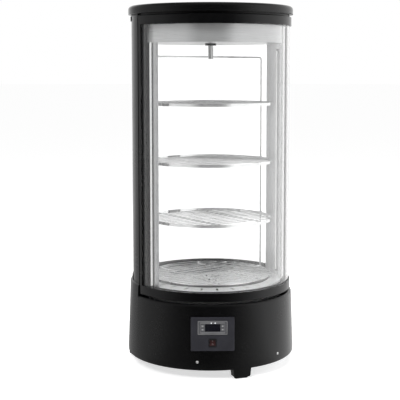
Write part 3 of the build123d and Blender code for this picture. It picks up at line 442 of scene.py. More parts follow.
def brushLines(recipe, run):
    axes = recipe.parts(recipe.place())
    if run != "across":
        x, y, z = axes
        axes = recipe.maths("ARCTAN2", x, y), z, x * x + y * y
    return recipe.join(*(axis * stretch for axis, stretch in zip(axes, brushStretch[run])))


# a lining is coated black beyond the seat radius, where the door seals against it
def makeSteel(name, set, run, seated=False):
    material, recipe = newMaterial(name)
    lines = recipe.noise(brushLines(recipe, run), 1.0, 4.0, 0.65)
    wide = recipe.noise(recipe.place(), set["wideScale"], 2.0)
    share = recipe.spread(lines, *set["lineBand"])
    colour = recipe.mix(share, (*set["dull"], 1), (*set["colour"], 1))
    metal = set["metal"]
    if seated:
        x, y, _ = recipe.parts(recipe.place())
        outside = x * x + y * y > set["seat"] ** 2
        colour = recipe.mix(outside, colour, set["seatColour"])
        metal = (1 - outside) * metal
    rough = set["rough"] + (lines - 0.5) * set["lineRough"] + (wide - 0.5) * set["wideRough"]
    recipe.out(recipe.finish({
        "Base Color": colour,
        "Metallic": metal,
        "Roughness": rough,
        "Normal": recipe.bump(lines, set["lineDepth"], set["lineStrength"]),
    }))
    return material


chrome = {
    "colour": (0.88, 0.88, 0.883),
    "dull": (0.7392, 0.7392, 0.74172),
    "rough": 0.06,
    "hazeScale": 30.0,
    "dullBand": (0.35, 0.7),
    "hazeBand": (0.4, 0.75),
    "hazeRough": 0.09,
    "fineScale": 700.0,
    "fineDepth": 0.00001,
    "fineStrength": 0.3,
}


def makeChrome(name, set):
    material, recipe = newMaterial(name)
    place = recipe.place()
    haze = recipe.noise(place, set["hazeScale"], 4.0)
    fine = recipe.noise(place, set["fineScale"], 2.0)
    dull = recipe.spread(haze, *set["dullBand"])
    recipe.out(recipe.finish({
        "Base Color": recipe.mix(dull, (*set["colour"], 1), (*set["dull"], 1)),
        "Metallic": 1.0,
        "Roughness": set["rough"] + recipe.spread(haze, *set["hazeBand"], 0.0, set["hazeRough"]),
        "Normal": recipe.bump(fine, set["fineDepth"], set["fineStrength"]),
    }))
    return material


paneGlass = {
    "colour": (0.997, 0.998, 0.9975),
    "edge": (0.8, 0.81, 0.805),
    "shadow": (0.945, 0.95, 0.948, 1),
    "bend": 1.45,
    "shine": 0.2,
    "edgeBand": (0.72, 0.96),
    "smearScale": 14.0,
    "smearBand": (0.55, 0.8),
    "smearRough": 0.025,
    "waveScale": 3.0,
    "waveDepth": 0.0002,
    "waveStrength": 0.05,
}


def makeGlass(name, set):
    material, recipe = newMaterial(name)
    place = recipe.place()
    wave = recipe.noise(place, set["waveScale"], 1.0)
    smear = recipe.noise(place, set["smearScale"], 4.0, 0.7)
    weight = recipe.wire(recipe.add("ShaderNodeLayerWeight", sockets={"Blend": 0.5}), "Facing")
    edge = recipe.spread(weight, *set["edgeBand"])
    glass = recipe.finish({
        "Base Color": recipe.mix(edge, (*set["colour"], 1), (*set["edge"], 1)),
        "Roughness": recipe.spread(smear, *set["smearBand"], 0.0, set["smearRough"]),
        "IOR": set["bend"],
        "Specular IOR Level": set["shine"],
        "Transmission Weight": 1.0,
        "Normal": recipe.bump(wave, set["waveDepth"], set["waveStrength"]),
    })
    clear = recipe.wire(recipe.add("ShaderNodeBsdfTransparent", sockets={0: set["shadow"]}))
    rays = recipe.add("ShaderNodeLightPath")
    recipe.out(recipe.blend(recipe.wire(rays, "Is Shadow Ray"), glass, clear))
    return material


# how uneven moulded plastic, plain metal and coats are
uneven = {
    "plasticScale": 24.0,
    "plasticBand": (0.35, 0.7),
    "plasticShare": 0.6,
    "plasticRough": 0.08,
    "grainRough": 0.05,
    "metalBand": (0.35, 0.7),
    "metalDark": 0.7,
    "metalRough": 0.15,
    "metalDepth": 0.00001,
    "metalStrength": 0.3,
    "coatScale": 14.0,
    "coatBand": (0.4, 0.7),
    "coatPale": 1.6,
    "coatRough": 0.1,
    "peelScale": 260.0,
    "peelDepth": 0.00004,
}


def makePlastic(name, colour, rough, grain=900.0, depth=0.00003, specular=0.4):
    material, recipe = newMaterial(name)
    place = recipe.place()
    wide = recipe.noise(place, uneven["plasticScale"], 3.0)
    fine = recipe.noise(place, grain, 2.0)
    pale = tuple(min(c * 1.35 + 0.004, 1) for c in colour)
    share = recipe.spread(wide, *uneven["plasticBand"], 0.0, uneven["plasticShare"])
    recipe.out(recipe.finish({
        "Base Color": recipe.mix(share, (*colour, 1), (*pale, 1)),
        "Roughness": rough + (wide - 0.5) * uneven["plasticRough"] + (fine - 0.5) * uneven["grainRough"],
        "Specular IOR Level": specular,
        "Normal": recipe.bump(fine, depth),
    }))
    return material


# zinc coat with crystals of uneven tone
zincSheet = {
    "dark": (0.36, 0.37, 0.38),
    "pale": (0.6, 0.61, 0.62),
    "metal": 0.9,
    "rough": 0.34,
    "crystalScale": 140.0,
    "crystalShare": 0.7,
    "crystalRough": 0.14,
    "crystalDepth": 0.00001,
    "crystalStrength": 0.4,
    "wideScale": 18.0,
}


def makeZinc(name, set):
    material, recipe = newMaterial(name)
    place = recipe.place()
    crystal = recipe.add("ShaderNodeTexVoronoi", sockets={"Vector": place, "Scale": set["crystalScale"]})
    level, other, _ = recipe.parts(recipe.wire(crystal, "Color"))
    wide = recipe.noise(place, set["wideScale"], 3.0)
    share = level * set["crystalShare"] + wide * (1 - set["crystalShare"])
    recipe.out(recipe.finish({
        "Base Color": recipe.mix(share, (*set["dark"], 1), (*set["pale"], 1)),
        "Metallic": set["metal"],
        "Roughness": set["rough"] + level * set["crystalRough"],
        "Normal": recipe.bump(other, set["crystalDepth"], set["crystalStrength"]),
    }))
    return material


def makeMetal(name, colour, rough, scale=60.0, metal=1.0):
    material, recipe = newMaterial(name)
    place = recipe.place()
    wide = recipe.noise(place, scale, 4.0, 0.6)
    fine = recipe.noise(place, scale * 16, 2.0)
    dark = tuple(c * uneven["metalDark"] for c in colour)
    recipe.out(recipe.finish({
        "Base Color": recipe.mix(recipe.spread(wide, *uneven["metalBand"]), (*dark, 1), (*colour, 1)),
        "Metallic": metal,
        "Roughness": rough + (wide - 0.5) * uneven["metalRough"],
        "Normal": recipe.bump(fine, uneven["metalDepth"], uneven["metalStrength"]),
    }))
    return material


def makeLamp(name, colour, strength):
    material, recipe = newMaterial(name)
    grain = recipe.noise(recipe.place(), 500.0, 2.0)
    recipe.out(recipe.finish({
        "Base Color": (*colour, 1),
        "Roughness": 0.3 + (grain - 0.5) * 0.1,
        "Emission Color": (*colour, 1),
        "Emission Strength": strength,
    }))
    return material


def makeCoated(name, colour, rough):
    material, recipe = newMaterial(name)
    place = recipe.place()
    peel = recipe.noise(place, uneven["peelScale"], 2.0)
    wide = recipe.noise(place, uneven["coatScale"], 3.0)
    pale = tuple(c * uneven["coatPale"] for c in colour)
    recipe.out(recipe.finish({
        "Base Color": recipe.mix(recipe.spread(wide, *uneven["coatBand"]), (*colour, 1), (*pale, 1)),
        "Roughness": rough + (wide - 0.5) * uneven["coatRough"],
        "Normal": recipe.bump(peel, uneven["peelDepth"]),
    }))
    return material


# inlet of black nylon with three bare pins
inletPins = {
    "angle": 162.0,
    "height": 0.084,
    "places": ((-0.007, -0.002), (0.0, 0.003), (0.007, -0.002)),
    "half width": 0.0023,
    "face": 0.2305,
    "nylon": (0.012, 0.012, 0.013, 1),
    "metal": (0.62, 0.6, 0.56, 1),
}


def makeInlet(name, set):
    material, recipe = newMaterial(name)
    place = recipe.place()
    x, y, z = recipe.parts(place)
    turn = math.radians(set["angle"])
    across = x * math.cos(turn) + y * math.sin(turn)
    up = z - set["height"]
    outward = x * math.sin(turn) - y * math.cos(turn)
    near = 1.0
    for side, rise in set["places"]:
        gaps = [recipe.maths("ABSOLUTE", gap) for gap in (across - side, up - rise)]
        near = recipe.maths("MINIMUM", recipe.maths("MAXIMUM", *gaps), near)
    pin = (near < set["half width"]) * (outward > set["face"])
    fine = recipe.noise(place, 700.0, 2.0)
    recipe.out(recipe.finish({
        "Base Color": recipe.mix(pin, set["nylon"], set["metal"]),
        "Metallic": pin,
        "Roughness": 0.45 - pin * 0.2 + (fine - 0.5) * 0.08,
        "Normal": recipe.bump(fine, 0.00003),
    }))
    return material


# each is made once: its name, its colour and roughness, then what differs from the usual
finishes = {
    "blackShell": makeBlackShell("black moulded shell", blackShell),
    "steelRound": makeSteel("stainless brushed round", steelSheet, "round"),
    "steelUp": makeSteel("stainless brushed upright", steelSheet, "up"),
    "steelSeat": makeSteel("stainless with a black seal seat", steelSheet, "up", True),
    "steelAcross": makeSteel("stainless brushed straight", floorSheet, "across"),
    "hingeSteel": makeSteel("plain hinge steel", hingeSteel, "across"),
    "chrome": makeChrome("chromed wire", chrome),
    "shaft": makeMetal("satin shaft", (0.96, 0.96, 0.96), 0.44),
    "glass": makeGlass("clear door glass", paneGlass),
    "rubber": makePlastic("black rubber", (0.012, 0.012, 0.012), 0.75, 500.0, 0.00006, 0.3),
    "gasket": makePlastic("door gasket", (0.02, 0.02, 0.02), 0.7, 700.0, 0.00004, 0.3),
    "panel": makePlastic("panel plastic", (0.027, 0.027, 0.034), 0.5),
    "bezel": makePlastic("controller plastic", (0.075, 0.075, 0.08), 0.42),
    "trim": makePlastic("controller trim", (0.15, 0.15, 0.155), 0.35),
    "keys": makePlastic("key plastic", (0.13, 0.13, 0.135), 0.5),
    "marks": makePlastic("pale printed mark", (0.42, 0.42, 0.42), 0.55),
    "switchMarks": makePlastic("worn switch mark", (0.14, 0.12, 0.12), 0.5),
    "window": makePlastic("smoked window", (0.006, 0.006, 0.009), 0.12, 900.0, 0.000005, 0.5),
    "switchRed": makePlastic("dark red rocker", (0.034, 0.012, 0.012), 0.3, 900.0, 0.00001, 0.5),
    "housing": makePlastic("black nylon", (0.012, 0.012, 0.013), 0.45),
    "bearing": makePlastic("bearing nylon", (0.055, 0.055, 0.057), 0.4),
    "fan": makePlastic("fan plastic", (0.03, 0.03, 0.033), 0.5),
    "bush": makePlastic("white nylon", (0.7, 0.7, 0.67), 0.5),
    "spacer": makePlastic("black glass spacer", (0.02, 0.02, 0.021), 0.5),
    "foam": makePlastic("foam tub", (0.55, 0.53, 0.48), 0.85, 300.0, 0.0004, 0.2),
    "coat": makeCoated("black powder coat", (0.0035, 0.0035, 0.0036), 0.42),
    "enamel": makeCoated("black enamel", (0.008, 0.008, 0.009), 0.2),
    "zinc": makeZinc("zinc coated sheet", zincSheet),
    "casting": makeMetal("zinc casting", (0.5, 0.5, 0.52), 0.45, 120.0),
    "bright": makeMetal("bright plated steel", (0.9, 0.9, 0.89), 0.3, 90.0, 0.35),
    "fin": makeMetal("aluminium fin", (0.72, 0.73, 0.74), 0.32, 40.0),
    "profile": makeMetal("satin aluminium profile", (0.62, 0.62, 0.63), 0.38, 30.0),
    "copper": makeMetal("copper tube", (0.72, 0.33, 0.2), 0.28, 50.0),
    "lens": makeLamp("lit opal lens", (0.82, 0.82, 0.81), 0.45),
    "statusLight": makeLamp("lit status light", (0.8, 0.82, 0.85), 0.7),
    "inlet": makeInlet("inlet nylon and pins", inletPins),
}
print("finishes ready:", len(finishes))

nodeFinish = {
    "blackShell": (
        "base_front_shell", "base_rear_shell", "top_cap", "door_bottom_rail", "door_top_rail",
        "closing_stile", "hinge_stile", "left_column", "right_column",
    ),
    "coat": ("rear_bottom_channel", "rear_top_channel", "top_frame"),
    "steelRound": ("ceiling_drum",),
    "steelSeat": ("left_lining", "right_lining"),
    "steelAcross": ("cabinet_floor",),
    "hingeSteel": ("hinge_plates", "hinge_pins"),
    "chrome": ("rack_frame", "shelf_1", "shelf_2", "shelf_3", "shelf_4", "shelf_clips"),
    "shaft": ("rack_shaft",),
    "glass": ("door_glass_outer", "door_glass_inner", "rear_glass_outer", "rear_glass_inner"),
    "rubber": ("foot_pads", "compressor_mounts"),
    "gasket": ("door_gasket",),
    "panel": ("control_panel",),
    "bezel": ("controller_case",),
    "keys": ("key_set", "key_light", "key_up", "key_down"),
    "window": ("controller_window",),
    "switchRed": ("power_switch",),
    "housing": ("switch_housing", "circulation_fan_frame"),
    "bearing": ("shaft_bearing",),
    "fan": ("condenser_fan", "circulation_fan"),
    "inlet": ("power_inlet",),
    "enamel": ("compressor",),
    "spacer": ("door_glass_spacer", "rear_glass_spacer"),
    "foam": ("insulation_tub",),
    "zinc": ("bottom_pan", "motor_bracket", "condenser_shroud"),
    "casting": ("gear_motor",),
    "bright": ("rack_screw", "case_screws"),
    "bush": ("hinge_bushes",),
    "profile": ("light_bars",),
    "fin": ("condenser", "evaporator"),
}


def dressNodes(table):
    for finish, names in table.items():
        for name in names:
            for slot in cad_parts[name].material_slots:
                slot.material = finishes[finish]
    done = {name for names in table.values() for name in names}
    print("nodes without a finish:", sorted(set(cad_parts) - done))


dressNodes(nodeFinish)


def settle(piece, body, slot, *replaced):
    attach(piece, body)
    if replaced:
        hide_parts(*replaced)
    print("piece ready:", piece.name, len(piece.data.polygons), "faces")


# case screws: domed heads with a cross recess, and a thread round a thinner core
caseScrews = {
    "head radius": 0.004,
    "head rise": 0.002,
    "shank radius": 0.002,
    "shank length": 0.008,
    "thread turns": 8.0,
    # shares of the shank's radius, and of its length
    "core": 0.86,
    "thread": 0.84,
    "ridge": 0.2,
    "thread length": 0.9,
    "thread foot": 0.95,
    "recess width": 0.0009,
    "recess length": 0.0046,
    "recess depth": 0.0012,
}
screwRows = (
    # radius from the axis, height, first angle, step to its partner, roll about x
    (0.251404, 0.052, -10.0, 60.0, 90.0),  # base
    (0.185, 1.036, 65.0, 90.0, 180.0),  # cap
)


def makeCaseScrews(set, rows):
    recipe = ShapeRecipe("screw")
    s = recipe.sizes(set)
    head = recipe.dome(24, 16, s["head radius"], s["head rise"])
    size = recipe.join(s["recess length"], s["recess width"], s["recess depth"] * 2)
    bar = recipe.node("MeshCube", Size=size)
    place = recipe.join(0.0, 0.0, s["head rise"])
    head = recipe.cut(head, *(recipe.moved(bar, place, (0, 0, turn)) for turn in (0.0, math.pi / 2)))
    core = s["shank radius"] * s["core"]
    shank = recipe.node("MeshCylinder", Vertices=16, Radius=core, Depth=s["shank length"])
    shank = recipe.moved(shank, recipe.join(0.0, 0.0, s["shank length"] * -0.5))
    reach = s["shank radius"] * s["thread"]
    path = recipe.node(
        "CurveSpiral", Resolution=14, Rotations=s["thread turns"], Start_Radius=reach, End_Radius=reach,
        Height=s["shank length"] * s["thread length"],
    )
    size = s["shank radius"] * s["ridge"]
    ridge = recipe.node("CurvePrimitiveCircle", {"mode": "RADIUS"}, Resolution=4, Radius=size)
    thread = recipe.node("CurveToMesh", Curve=path, Profile_Curve=ridge, Fill_Caps=True)
    thread = recipe.moved(thread, recipe.join(0.0, 0.0, s["shank length"] * s["thread foot"] * -1))
    screw = recipe.together(head, shank, thread)
    number = recipe.index()
    odd = recipe.maths("MODULO", number, 2.0)
    pair = recipe.maths("FLOOR", number / 2)
    screws = []
    for radius, height, first, step, roll in rows:
        angle = (odd * step + pair * 180.0 + first) * (math.pi / 180)
        place = recipe.join(
            recipe.maths("SINE", angle) * radius, recipe.maths("COSINE", angle) * -radius, height
        )
        turn = recipe.join(math.radians(roll), 0.0, angle)
        screws.append(recipe.repeat(screw, 4, place, turn))
    shape = recipe.painted(recipe.together(*screws), finishes["bright"])
    settle(recipe.make("caseScrewSet", shape), "cabinet", "dark_screw", "case_screws")


makeCaseScrews(caseScrews, screwRows)


# light bars: aluminium profile, opal lens and two end caps on each side
lightBars = {
    "foot": 0.261,
    "top": 0.9425,
    "radius": 0.2081,
    "angle": 77.2,
    "turn": 20.0,
    "profile width": 0.0088,
    "profile depth": 0.0066,
    "profile corner": 0.0009,
    "profile lift": -0.0002,
    "lens width": 0.0068,
    "lens depth": 0.0036,
    "lens corner": 0.0015,
    "lens lift": 0.0025,
    "cap depth": 0.0078,
    "cap corner": 0.0014,
    "cap lift": 0.0003,
    "cap height": 0.006,
}


# upright bar with rounded corners, pushed forward by its lift
def roundedBar(recipe, width, depth, corner, lift, bottom, top):
    outline = recipe.node("CurvePrimitiveQuadrilateral", {"mode": "RECTANGLE"}, Width=width, Height=depth)
    outline = recipe.node("FilletCurve", {"mode": "POLY"}, Curve=outline, Count=4, Radius=corner)
    start, end = recipe.join(0.0, 0.0, bottom), recipe.join(0.0, 0.0, top)
    path = recipe.node("CurvePrimitiveLine", {"mode": "POINTS"}, Start=start, End=end)
    solid = recipe.node("CurveToMesh", Curve=path, Profile_Curve=outline, Fill_Caps=True)
    return recipe.moved(solid, recipe.join(0.0, lift, 0.0))


def makeLightBars(set):
    recipe = ShapeRecipe("light bar")
    s = recipe.sizes(set)
    profileShape = s["profile width"], s["profile depth"], s["profile corner"], s["profile lift"]
    lensShape = s["lens width"], s["lens depth"], s["lens corner"], s["lens lift"]
    capShape = s["profile width"], s["cap depth"], s["cap corner"], s["cap lift"]
    lensFoot, lensTop = s["foot"] + s["cap height"], s["top"] - s["cap height"]
    profile = roundedBar(recipe, *profileShape, s["foot"], s["top"])
    lens = roundedBar(recipe, *lensShape, lensFoot, lensTop)
    low = roundedBar(recipe, *capShape, s["foot"], lensFoot)
    high = roundedBar(recipe, *capShape, lensTop, s["top"])
    bar = recipe.together(
        recipe.painted(profile, finishes["profile"]),
        recipe.painted(lens, finishes["lens"]),
        recipe.painted(recipe.together(low, high), finishes["housing"]),
    )
    side = recipe.index() * 2 - 1
    angle = (side * s["angle"] + s["turn"]) * (math.pi / 180)
    place = recipe.join(
        recipe.maths("SINE", angle) * s["radius"], recipe.maths("COSINE", angle) * s["radius"] * -1, 0.0
    )
    bars = recipe.repeat(bar, 2, place, recipe.join(0.0, 0.0, angle))
    settle(recipe.make("lightBarSet", bars), "cabinet", "light_diffuser", "light_bars")


makeLightBars(lightBars)


# weld beads where the shelf wires meet the hoop and the cross wires
weldBeads = {
    "first shelf": 0.2586,
    "shelf pitch": 0.17343,
    "hoop reach": 0.1838,
    "wire pitch": 0.025,
    "hoop lift": 0.00175,
    "cross offset": 0.07,
    "cross lift": 0.0001,
    "turn": 34.7,
    "bead radius": 0.0019,
    "shelves": 4,
    "rows": 12,
}


def makeWeldBeads(set):
    recipe = ShapeRecipe("weld bead")
    s = recipe.sizes(set)
    bead = recipe.node("MeshIcoSphere", Radius=s["bead radius"], Subdivisions=1)
    number = recipe.index()
    perShelf = s["rows"] * 2
    level = recipe.maths("FLOOR", number / perShelf)
    rest = recipe.maths("MODULO", number, perShelf)
    row = recipe.maths("FLOOR", rest / 2)
    side = recipe.maths("MODULO", rest, 2.0) * 2 - 1
    y = (row - (s["rows"] - 1) * 0.5) * s["wire pitch"]
    height = s["first shelf"] + level * s["shelf pitch"]
    hoop = recipe.join(side * (s["hoop reach"] ** 2 - y * y) ** 0.5, y, height + s["hoop lift"])
    ends = recipe.repeat(bead, s["shelves"] * perShelf, hoop, scale=(1.0, 1.25, 0.8))
    crossing = recipe.join(side * s["cross offset"], y, height + s["cross lift"])
    crossings = recipe.repeat(bead, s["shelves"] * perShelf, crossing, scale=(1.15, 1.0, 0.6))
    turn = recipe.join(0.0, 0.0, s["turn"] * (math.pi / 180))
    shape = recipe.moved(recipe.together(ends, crossings), turn=turn)
    settle(recipe.make("weldBeads", recipe.painted(shape, finishes["chrome"]), 80), "rack", "chrome_wire")


makeWeldBeads(weldBeads)


# coils: rippled fins on copper tubes, with return bends and end plates
condenserCoil = {
    "length": 0.15,
    "depth": 0.036,
    "height": 0.1,
    "turn": 20.0,
    "fin pitch": 0.003,
    "fin sheet": 0.0004,
    "ripple length": 0.012,
    "ripple depth": 0.0005,
    "plate sheet": 0.0012,
    "end room": 0.012,
    "tube radius": 0.0038,
    "tube rows": 4,
    "tube pitch": 0.024,
    "tube overhang": 0.002,
    "bend room": 0.0065,
}
evaporatorCoil = dict(condenserCoil, length=0.2, depth=0.056)


def makeCoil(name, set, node):
    low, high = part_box(node)
    recipe = ShapeRecipe(name)
    s = recipe.sizes(set)
    span = s["length"] - s["end room"] * 2
    count = recipe.maths("FLOOR", span / s["fin pitch"])
    size = recipe.join(s["fin sheet"], s["depth"], s["height"])
    fin = recipe.node("MeshCube", Size=size, Vertices_X=2, Vertices_Y=9, Vertices_Z=2)
    _, y, _ = recipe.position()
    ripple = recipe.maths("SINE", y * (2 * math.pi) / s["ripple length"]) * s["ripple depth"]
    fin = recipe.node("SetPosition", Geometry=fin, Offset=recipe.join(ripple, 0.0, 0.0))
    number = recipe.index()
    fins = recipe.repeat(fin, count, recipe.join((number - (count - 1) * 0.5) * s["fin pitch"], 0.0, 0.0))
    plate = recipe.node("MeshCube", Size=recipe.join(s["plate sheet"], s["depth"], s["height"]))
    plates = recipe.repeat(plate, 2, recipe.join((number - 0.5) * (span + s["plate sheet"]), 0.0, 0.0))
    length = span + s["tube overhang"] * 2
    tube = recipe.node("MeshCylinder", Vertices=12, Radius=s["tube radius"], Depth=length)
    tube = recipe.moved(tube, turn=(0, math.pi / 2, 0))
    column = recipe.maths("MODULO", number, 2.0)
    row = recipe.maths("FLOOR", number / 2)
    rise = (row - (s["tube rows"] - 1) * 0.5) * s["tube pitch"]
    place = recipe.join(0.0, (column - 0.5) * s["depth"] * 0.5, rise)
    tubes = recipe.repeat(tube, s["tube rows"] * 2, place)
    reach = s["depth"] * 0.25
    sweep = {"Start_Angle": -math.pi / 2, "Sweep_Angle": math.pi}
    arc = recipe.node("CurveArc", {"mode": "RADIUS"}, Resolution=12, Radius=reach, **sweep)
    section = recipe.node("CurvePrimitiveCircle", {"mode": "RADIUS"}, Resolution=12, Radius=s["tube radius"])
    bend = recipe.node("CurveToMesh", Curve=arc, Profile_Curve=section)
    bend = recipe.moved(bend, scale=recipe.join((s["end room"] - s["bend room"]) / reach, 1.0, 1.0))
    side = column * 2 - 1
    bends = recipe.repeat(
        bend, s["tube rows"] * 2, recipe.join(side * (span * 0.5 + s["tube overhang"]), 0.0, rise),
        recipe.join(0.0, 0.0, (1 - column) * math.pi),
    )
    shape = recipe.together(
        recipe.painted(fins, finishes["fin"]),
        recipe.painted(plates, finishes["zinc"]),
        recipe.painted(recipe.together(tubes, bends), finishes["copper"]),
    )
    turn = recipe.join(0.0, 0.0, s["turn"] * (math.pi / 180))
    shape = recipe.moved(shape, tuple((low + high) / 2), turn)
    settle(recipe.make(name, shape), "cabinet", "fin_aluminium", node)


makeCoil("condenserCoil", condenserCoil, "condenser")
makeCoil("evaporatorCoil", evaporatorCoil, "evaporator")


# the leaning face of the control panel, where the trim, the lights and the marks stand
panelPlane = {"origin": (0.0, -0.248912, 0.133), "lean": 2.0095, "centre": 0.0185}


def panelMatrix(set):
    lean = math.radians(set["lean"])
    across = Vector((1, 0, 0))
    up = Vector((0, math.sin(lean), math.cos(lean)))
    outward = Vector((0, -math.cos(lean), math.sin(lean)))
    turn = Matrix((across, up, outward)).transposed().to_4x4()
    return Matrix.Translation(Vector(set["origin"])) @ turn


# outline of a rounded rectangle, counted once round
def roundedOutline(width, height, corner, steps=6):
    points = []
    for quarter, (sx, sy) in enumerate(((1, 1), (-1, 1), (-1, -1), (1, -1))):
        for i in range(steps + 1):
            angle = math.pi / 2 * (quarter + i / steps)
            points.append((
                sx * (width / 2 - corner) + corner * math.cos(angle),
                sy * (height / 2 - corner) + corner * math.sin(angle),
            ))
    return points


def circleOutline(radius, steps=28):
    angles = [2 * math.pi * i / steps for i in range(steps)]
    return [(radius * math.cos(angle), radius * math.sin(angle)) for angle in angles]


def barOutline(width, height, turn=0.0):
    corners = ((1, 1), (-1, 1), (-1, -1), (1, -1))
    points = [(sx * width / 2, sy * height / 2) for sx, sy in corners]
    c, s = math.cos(turn), math.sin(turn)
    return [(x * c - y * s, x * s + y * c) for x, y in points]


# one outline as a loop at a height, drawn in by shrink towards the centre
def addLoop(build, outline, centre, height, shrink):
    loop = []
    for x, y in outline:
        pull = 1 - shrink / (math.hypot(x, y) or 1)
        loop.append(build.verts.new((centre[0] + x * pull, centre[1] + y * pull, height)))
    return loop


def joinLoops(build, first, second):
    for i in range(len(first)):
        k = (i + 1) % len(first)
        build.faces.new((first[i], first[k], second[k], second[i]))


# flat ring between two outlines with the same count, with a bevelled upper edge
def addRing(build, outer, inner, centre, bottom, top, edge):
    loops = [addLoop(build, outline, centre, height, shrink) for outline, height, shrink in (
        (outer, bottom, 0), (outer, top - edge, 0), (outer, top, edge),
        (inner, top, -edge), (inner, top - edge, 0), (inner, bottom, 0),
    )]
    for first, second in zip(loops, loops[1:] + loops[:1]):
        joinLoops(build, first, second)


# solid plate inside one outline, with a bevelled upper edge
def addPlate(build, outline, centre, bottom, top, edge):
    heights = ((bottom, 0), (top - edge, 0), (top, edge))
    loops = [addLoop(build, outline, centre, height, shrink) for height, shrink in heights]
    for first, second in zip(loops, loops[1:]):
        joinLoops(build, first, second)
    build.faces.new(loops[-1])
    build.faces.new(list(reversed(loops[0])))


def makePlaced(name, build, matrix, material):
    bmesh.ops.recalc_face_normals(build, faces=build.faces)
    build.transform(matrix)
    mesh = bpy.data.meshes.new(name)
    build.to_mesh(mesh)
    build.free()
    mesh.shade_smooth()
    mesh.set_sharp_from_angle(angle=math.radians(30))
    mesh.materials.append(material)
    piece = bpy.data.objects.new(name, mesh)
    bpy.context.scene.collection.objects.link(piece)
    return piece


# raised rim of the controller and a thinner one round its window
controllerTrim = {
    "face": 0.0014,
    "sunk": 0.0002,
    "edge": 0.0002,
    # width, height, corner, bar at the sides, bar above and below, rise
    "rims": (
        (0.0846, 0.0396, 0.0028, 0.0022, 0.0022, 0.0006),
        (0.0700, 0.0325, 0.0016, 0.0008, 0.0040, 0.0004),
    ),
}


def makeControllerTrim(set, plane):
    build = bmesh.new()
    for width, height, corner, sideBar, endBar, rise in set["rims"]:
        outer = roundedOutline(width, height, corner)
        inner = roundedOutline(width - 2 * sideBar, height - 2 * endBar, corner * 0.5)
        span = set["face"] - set["sunk"], set["face"] + rise, set["edge"]
        addRing(build, outer, inner, (0, plane["centre"]), *span)
    piece = makePlaced("controllerTrim", build, panelMatrix(plane), finishes["trim"])
    settle(piece, "cabinet", "controller_grey")


makeControllerTrim(controllerTrim, panelPlane)


# folded front edge of each lining: a strip that glows as a painted highlight, a groove with the door's seal
# whose black is partly painted shade, and a turned-in lip
liningHem = {
    "turn": 20.0,
    "sheet": 0.0012,
    "gap": 0.0003,
    # angle from the middle of the door and radius of the outer face
    "path": (
        (75.9, 0.21295), (74.6, 0.21295), (73.7, 0.21295), (73.45, 0.2126), (73.3, 0.2114), (73.1, 0.2108),
        (72.5, 0.2106), (71.9, 0.2108), (71.7, 0.2114), (71.55, 0.2126), (71.3, 0.21295), (70.0, 0.21295),
        (68.9, 0.21295), (68.6, 0.2127), (68.4, 0.2124), (67.6, 0.2124), (67.0, 0.2121), (66.75, 0.2114),
        (66.65, 0.2105), (66.65, 0.2085),
    ),
    # the glowing highlight strip is behind its angle, the seal between its two and the lip before its own
    "strip": 73.5,
    "seal": (71.5, 73.5),
    "lip": 68.8,
}


def makeLiningHem(set):
    low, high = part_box("left_lining")
    bottom, top = low[2] + set["gap"], high[2] - set["gap"]
    build = bmesh.new()
    for side in (-1, 1):
        outer = []
        for angle, radius in set["path"]:
            turn = math.radians(side * angle + set["turn"])
            outer.append(Vector((math.sin(turn) * radius, -math.cos(turn) * radius, 0)))
        inner = []
        for i, point in enumerate(outer):
            along = outer[min(i + 1, len(outer) - 1)] - outer[max(i - 1, 0)]
            inward = Vector((along.y, -along.x, 0)).normalized() * side
            inner.append(point + inward * set["sheet"])
        outline = outer + inner[::-1]
        count = len(outline)
        rings = [[build.verts.new((p.x, p.y, height)) for p in outline] for height in (bottom, top)]
        for i in range(count):
            k = (i + 1) % count
            face = build.faces.new((rings[0][i], rings[0][k], rings[1][k], rings[1][i]))
            angle = set["path"][i][0] if i < len(outer) else set["lip"]
            # the strip glows with the lens finish: a painted highlight on the folded steel, not a lamp
            if angle > set["strip"]:
                face.material_index = 1
            # the seal's black is a real seal and also painted shade in the groove
            elif set["seal"][0] < angle < set["seal"][1]:
                face.material_index = 2
            elif angle < set["lip"]:
                face.material_index = 3
        for ring in rings:
            for i in range(len(outer) - 1):
                build.faces.new((ring[i], ring[i + 1], ring[count - 2 - i], ring[count - 1 - i]))
    piece = makePlaced("liningHem", build, Matrix(), finishes["steelUp"])
    for finish in ("lens", "gasket", "profile"):
        piece.data.materials.append(finishes[finish])
    settle(piece, "cabinet", "stainless")


makeLiningHem(liningHem)


# two small domes above the controller's window
statusLights = {
    "radius": 0.0016,
    "rise": 0.0010,
    "apart": 0.011,
    "across": 0.0015,
    "up": 0.0322,
    "face": 0.0017,
}


def makeStatusLights(set, plane):
    recipe = ShapeRecipe("status light")
    s = recipe.sizes(set)
    dome = recipe.dome(20, 12, s["radius"], s["rise"])
    side = recipe.index() - 0.5
    pair = recipe.repeat(dome, 2, recipe.join(s["across"] + side * s["apart"], s["up"], s["face"]))
    lean = math.radians(plane["lean"])
    placed = recipe.moved(pair, plane["origin"], (math.pi / 2 - lean, 0, 0))
    shape = recipe.painted(placed, finishes["statusLight"])
    settle(recipe.make("statusLights", shape), "cabinet", "controller_grey")


makeStatusLights(statusLights, panelPlane)


# a generic sign on each key
keyMarks = {
    "face": 0.0018,
    "sunk": 0.0001,
    "proud": 0.00012,
    "edge": 0.00005,
    "ring": (0.0019, 0.0012),
    "sun": 0.0010,
    "rays": 8,
    "ray": (0.0010, 0.00036),
    "ray place": 0.0019,
    "arrow": (0.0021, 0.0013, 0.0017),
    # place across and up from the panel's centre, mark
    "keys": {
        "key_set": (-0.0285, 0.0236, "ring"),
        "key_light": (-0.0285, 0.0134, "sun"),
        "key_up": (0.0285, 0.0236, "up"),
        "key_down": (0.0285, 0.0134, "down"),
    },
}


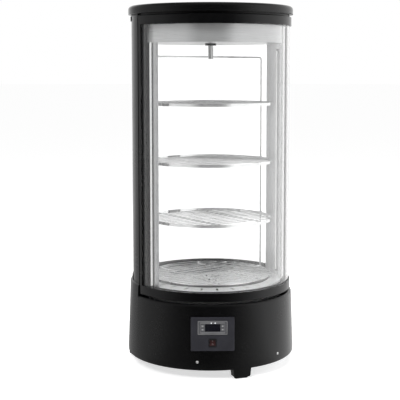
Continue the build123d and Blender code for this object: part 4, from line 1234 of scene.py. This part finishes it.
def makeKeyMark(set, node, plane):
    across, up, mark = set["keys"][node]
    build = bmesh.new()
    span = set["face"] - set["sunk"], set["face"] + set["proud"], set["edge"]
    if mark == "ring":
        outer, inner = [circleOutline(radius) for radius in set["ring"]]
        addRing(build, outer, inner, (across, up), *span)
    elif mark == "sun":
        addPlate(build, circleOutline(set["sun"], 20), (across, up), *span)
        for i in range(set["rays"]):
            turn = 2 * math.pi / set["rays"] * i
            reach = set["ray place"]
            middle = (across + reach * math.cos(turn), up + reach * math.sin(turn))
            addPlate(build, barOutline(*set["ray"], turn), middle, *span)
    else:
        way = 1 if mark == "up" else -1
        half, foot, tip = set["arrow"]
        addPlate(build, [(-half, -foot * way), (half, -foot * way), (0.0, tip * way)], (across, up), *span)
    settle(makePlaced(node + "_mark", build, panelMatrix(plane), finishes["marks"]), node, "key_grey")


for node in keyMarks["keys"]:
    makeKeyMark(keyMarks, node, panelPlane)


# the line and the ring of an on and off switch, on the two leaning halves of the rocker
rockerMarks = {
    "drop": 0.025,
    "pivot": 0.0045,
    "tilt": 8.0,
    "rise": 0.0032,
    "place": 0.0046,
    "sunk": 0.0001,
    "proud": 0.00012,
    "edge": 0.00005,
    "line": (0.0010, 0.0042),
    "ring": (0.0023, 0.0015),
}


def makeRockerMarks(set, plane):
    tilt = math.radians(set["tilt"])
    hub = Matrix.Translation((0, -set["drop"], -set["pivot"])) @ Matrix.Rotation(-tilt, 4, "X")
    height = set["rise"] + set["place"] * math.tan(tilt)
    span = -set["sunk"], set["proud"], set["edge"]
    build = bmesh.new()
    for side in (1, -1):
        part = bmesh.new()
        if side > 0:
            addPlate(part, barOutline(*set["line"]), (0, 0), *span)
        else:
            outer, inner = [circleOutline(radius) for radius in set["ring"]]
            addRing(part, outer, inner, (0, 0), *span)
        place = Matrix.Translation((0, side * set["place"], height))
        part.transform(place @ Matrix.Rotation(side * tilt, 4, "X"))
        mesh = bpy.data.meshes.new("mark")
        part.to_mesh(mesh)
        part.free()
        build.from_mesh(mesh)
        bpy.data.meshes.remove(mesh)
    piece = makePlaced("power_switch_marks", build, panelMatrix(plane) @ hub, finishes["switchMarks"])
    settle(piece, "power_switch", "red_rocker")


makeRockerMarks(rockerMarks, panelPlane)
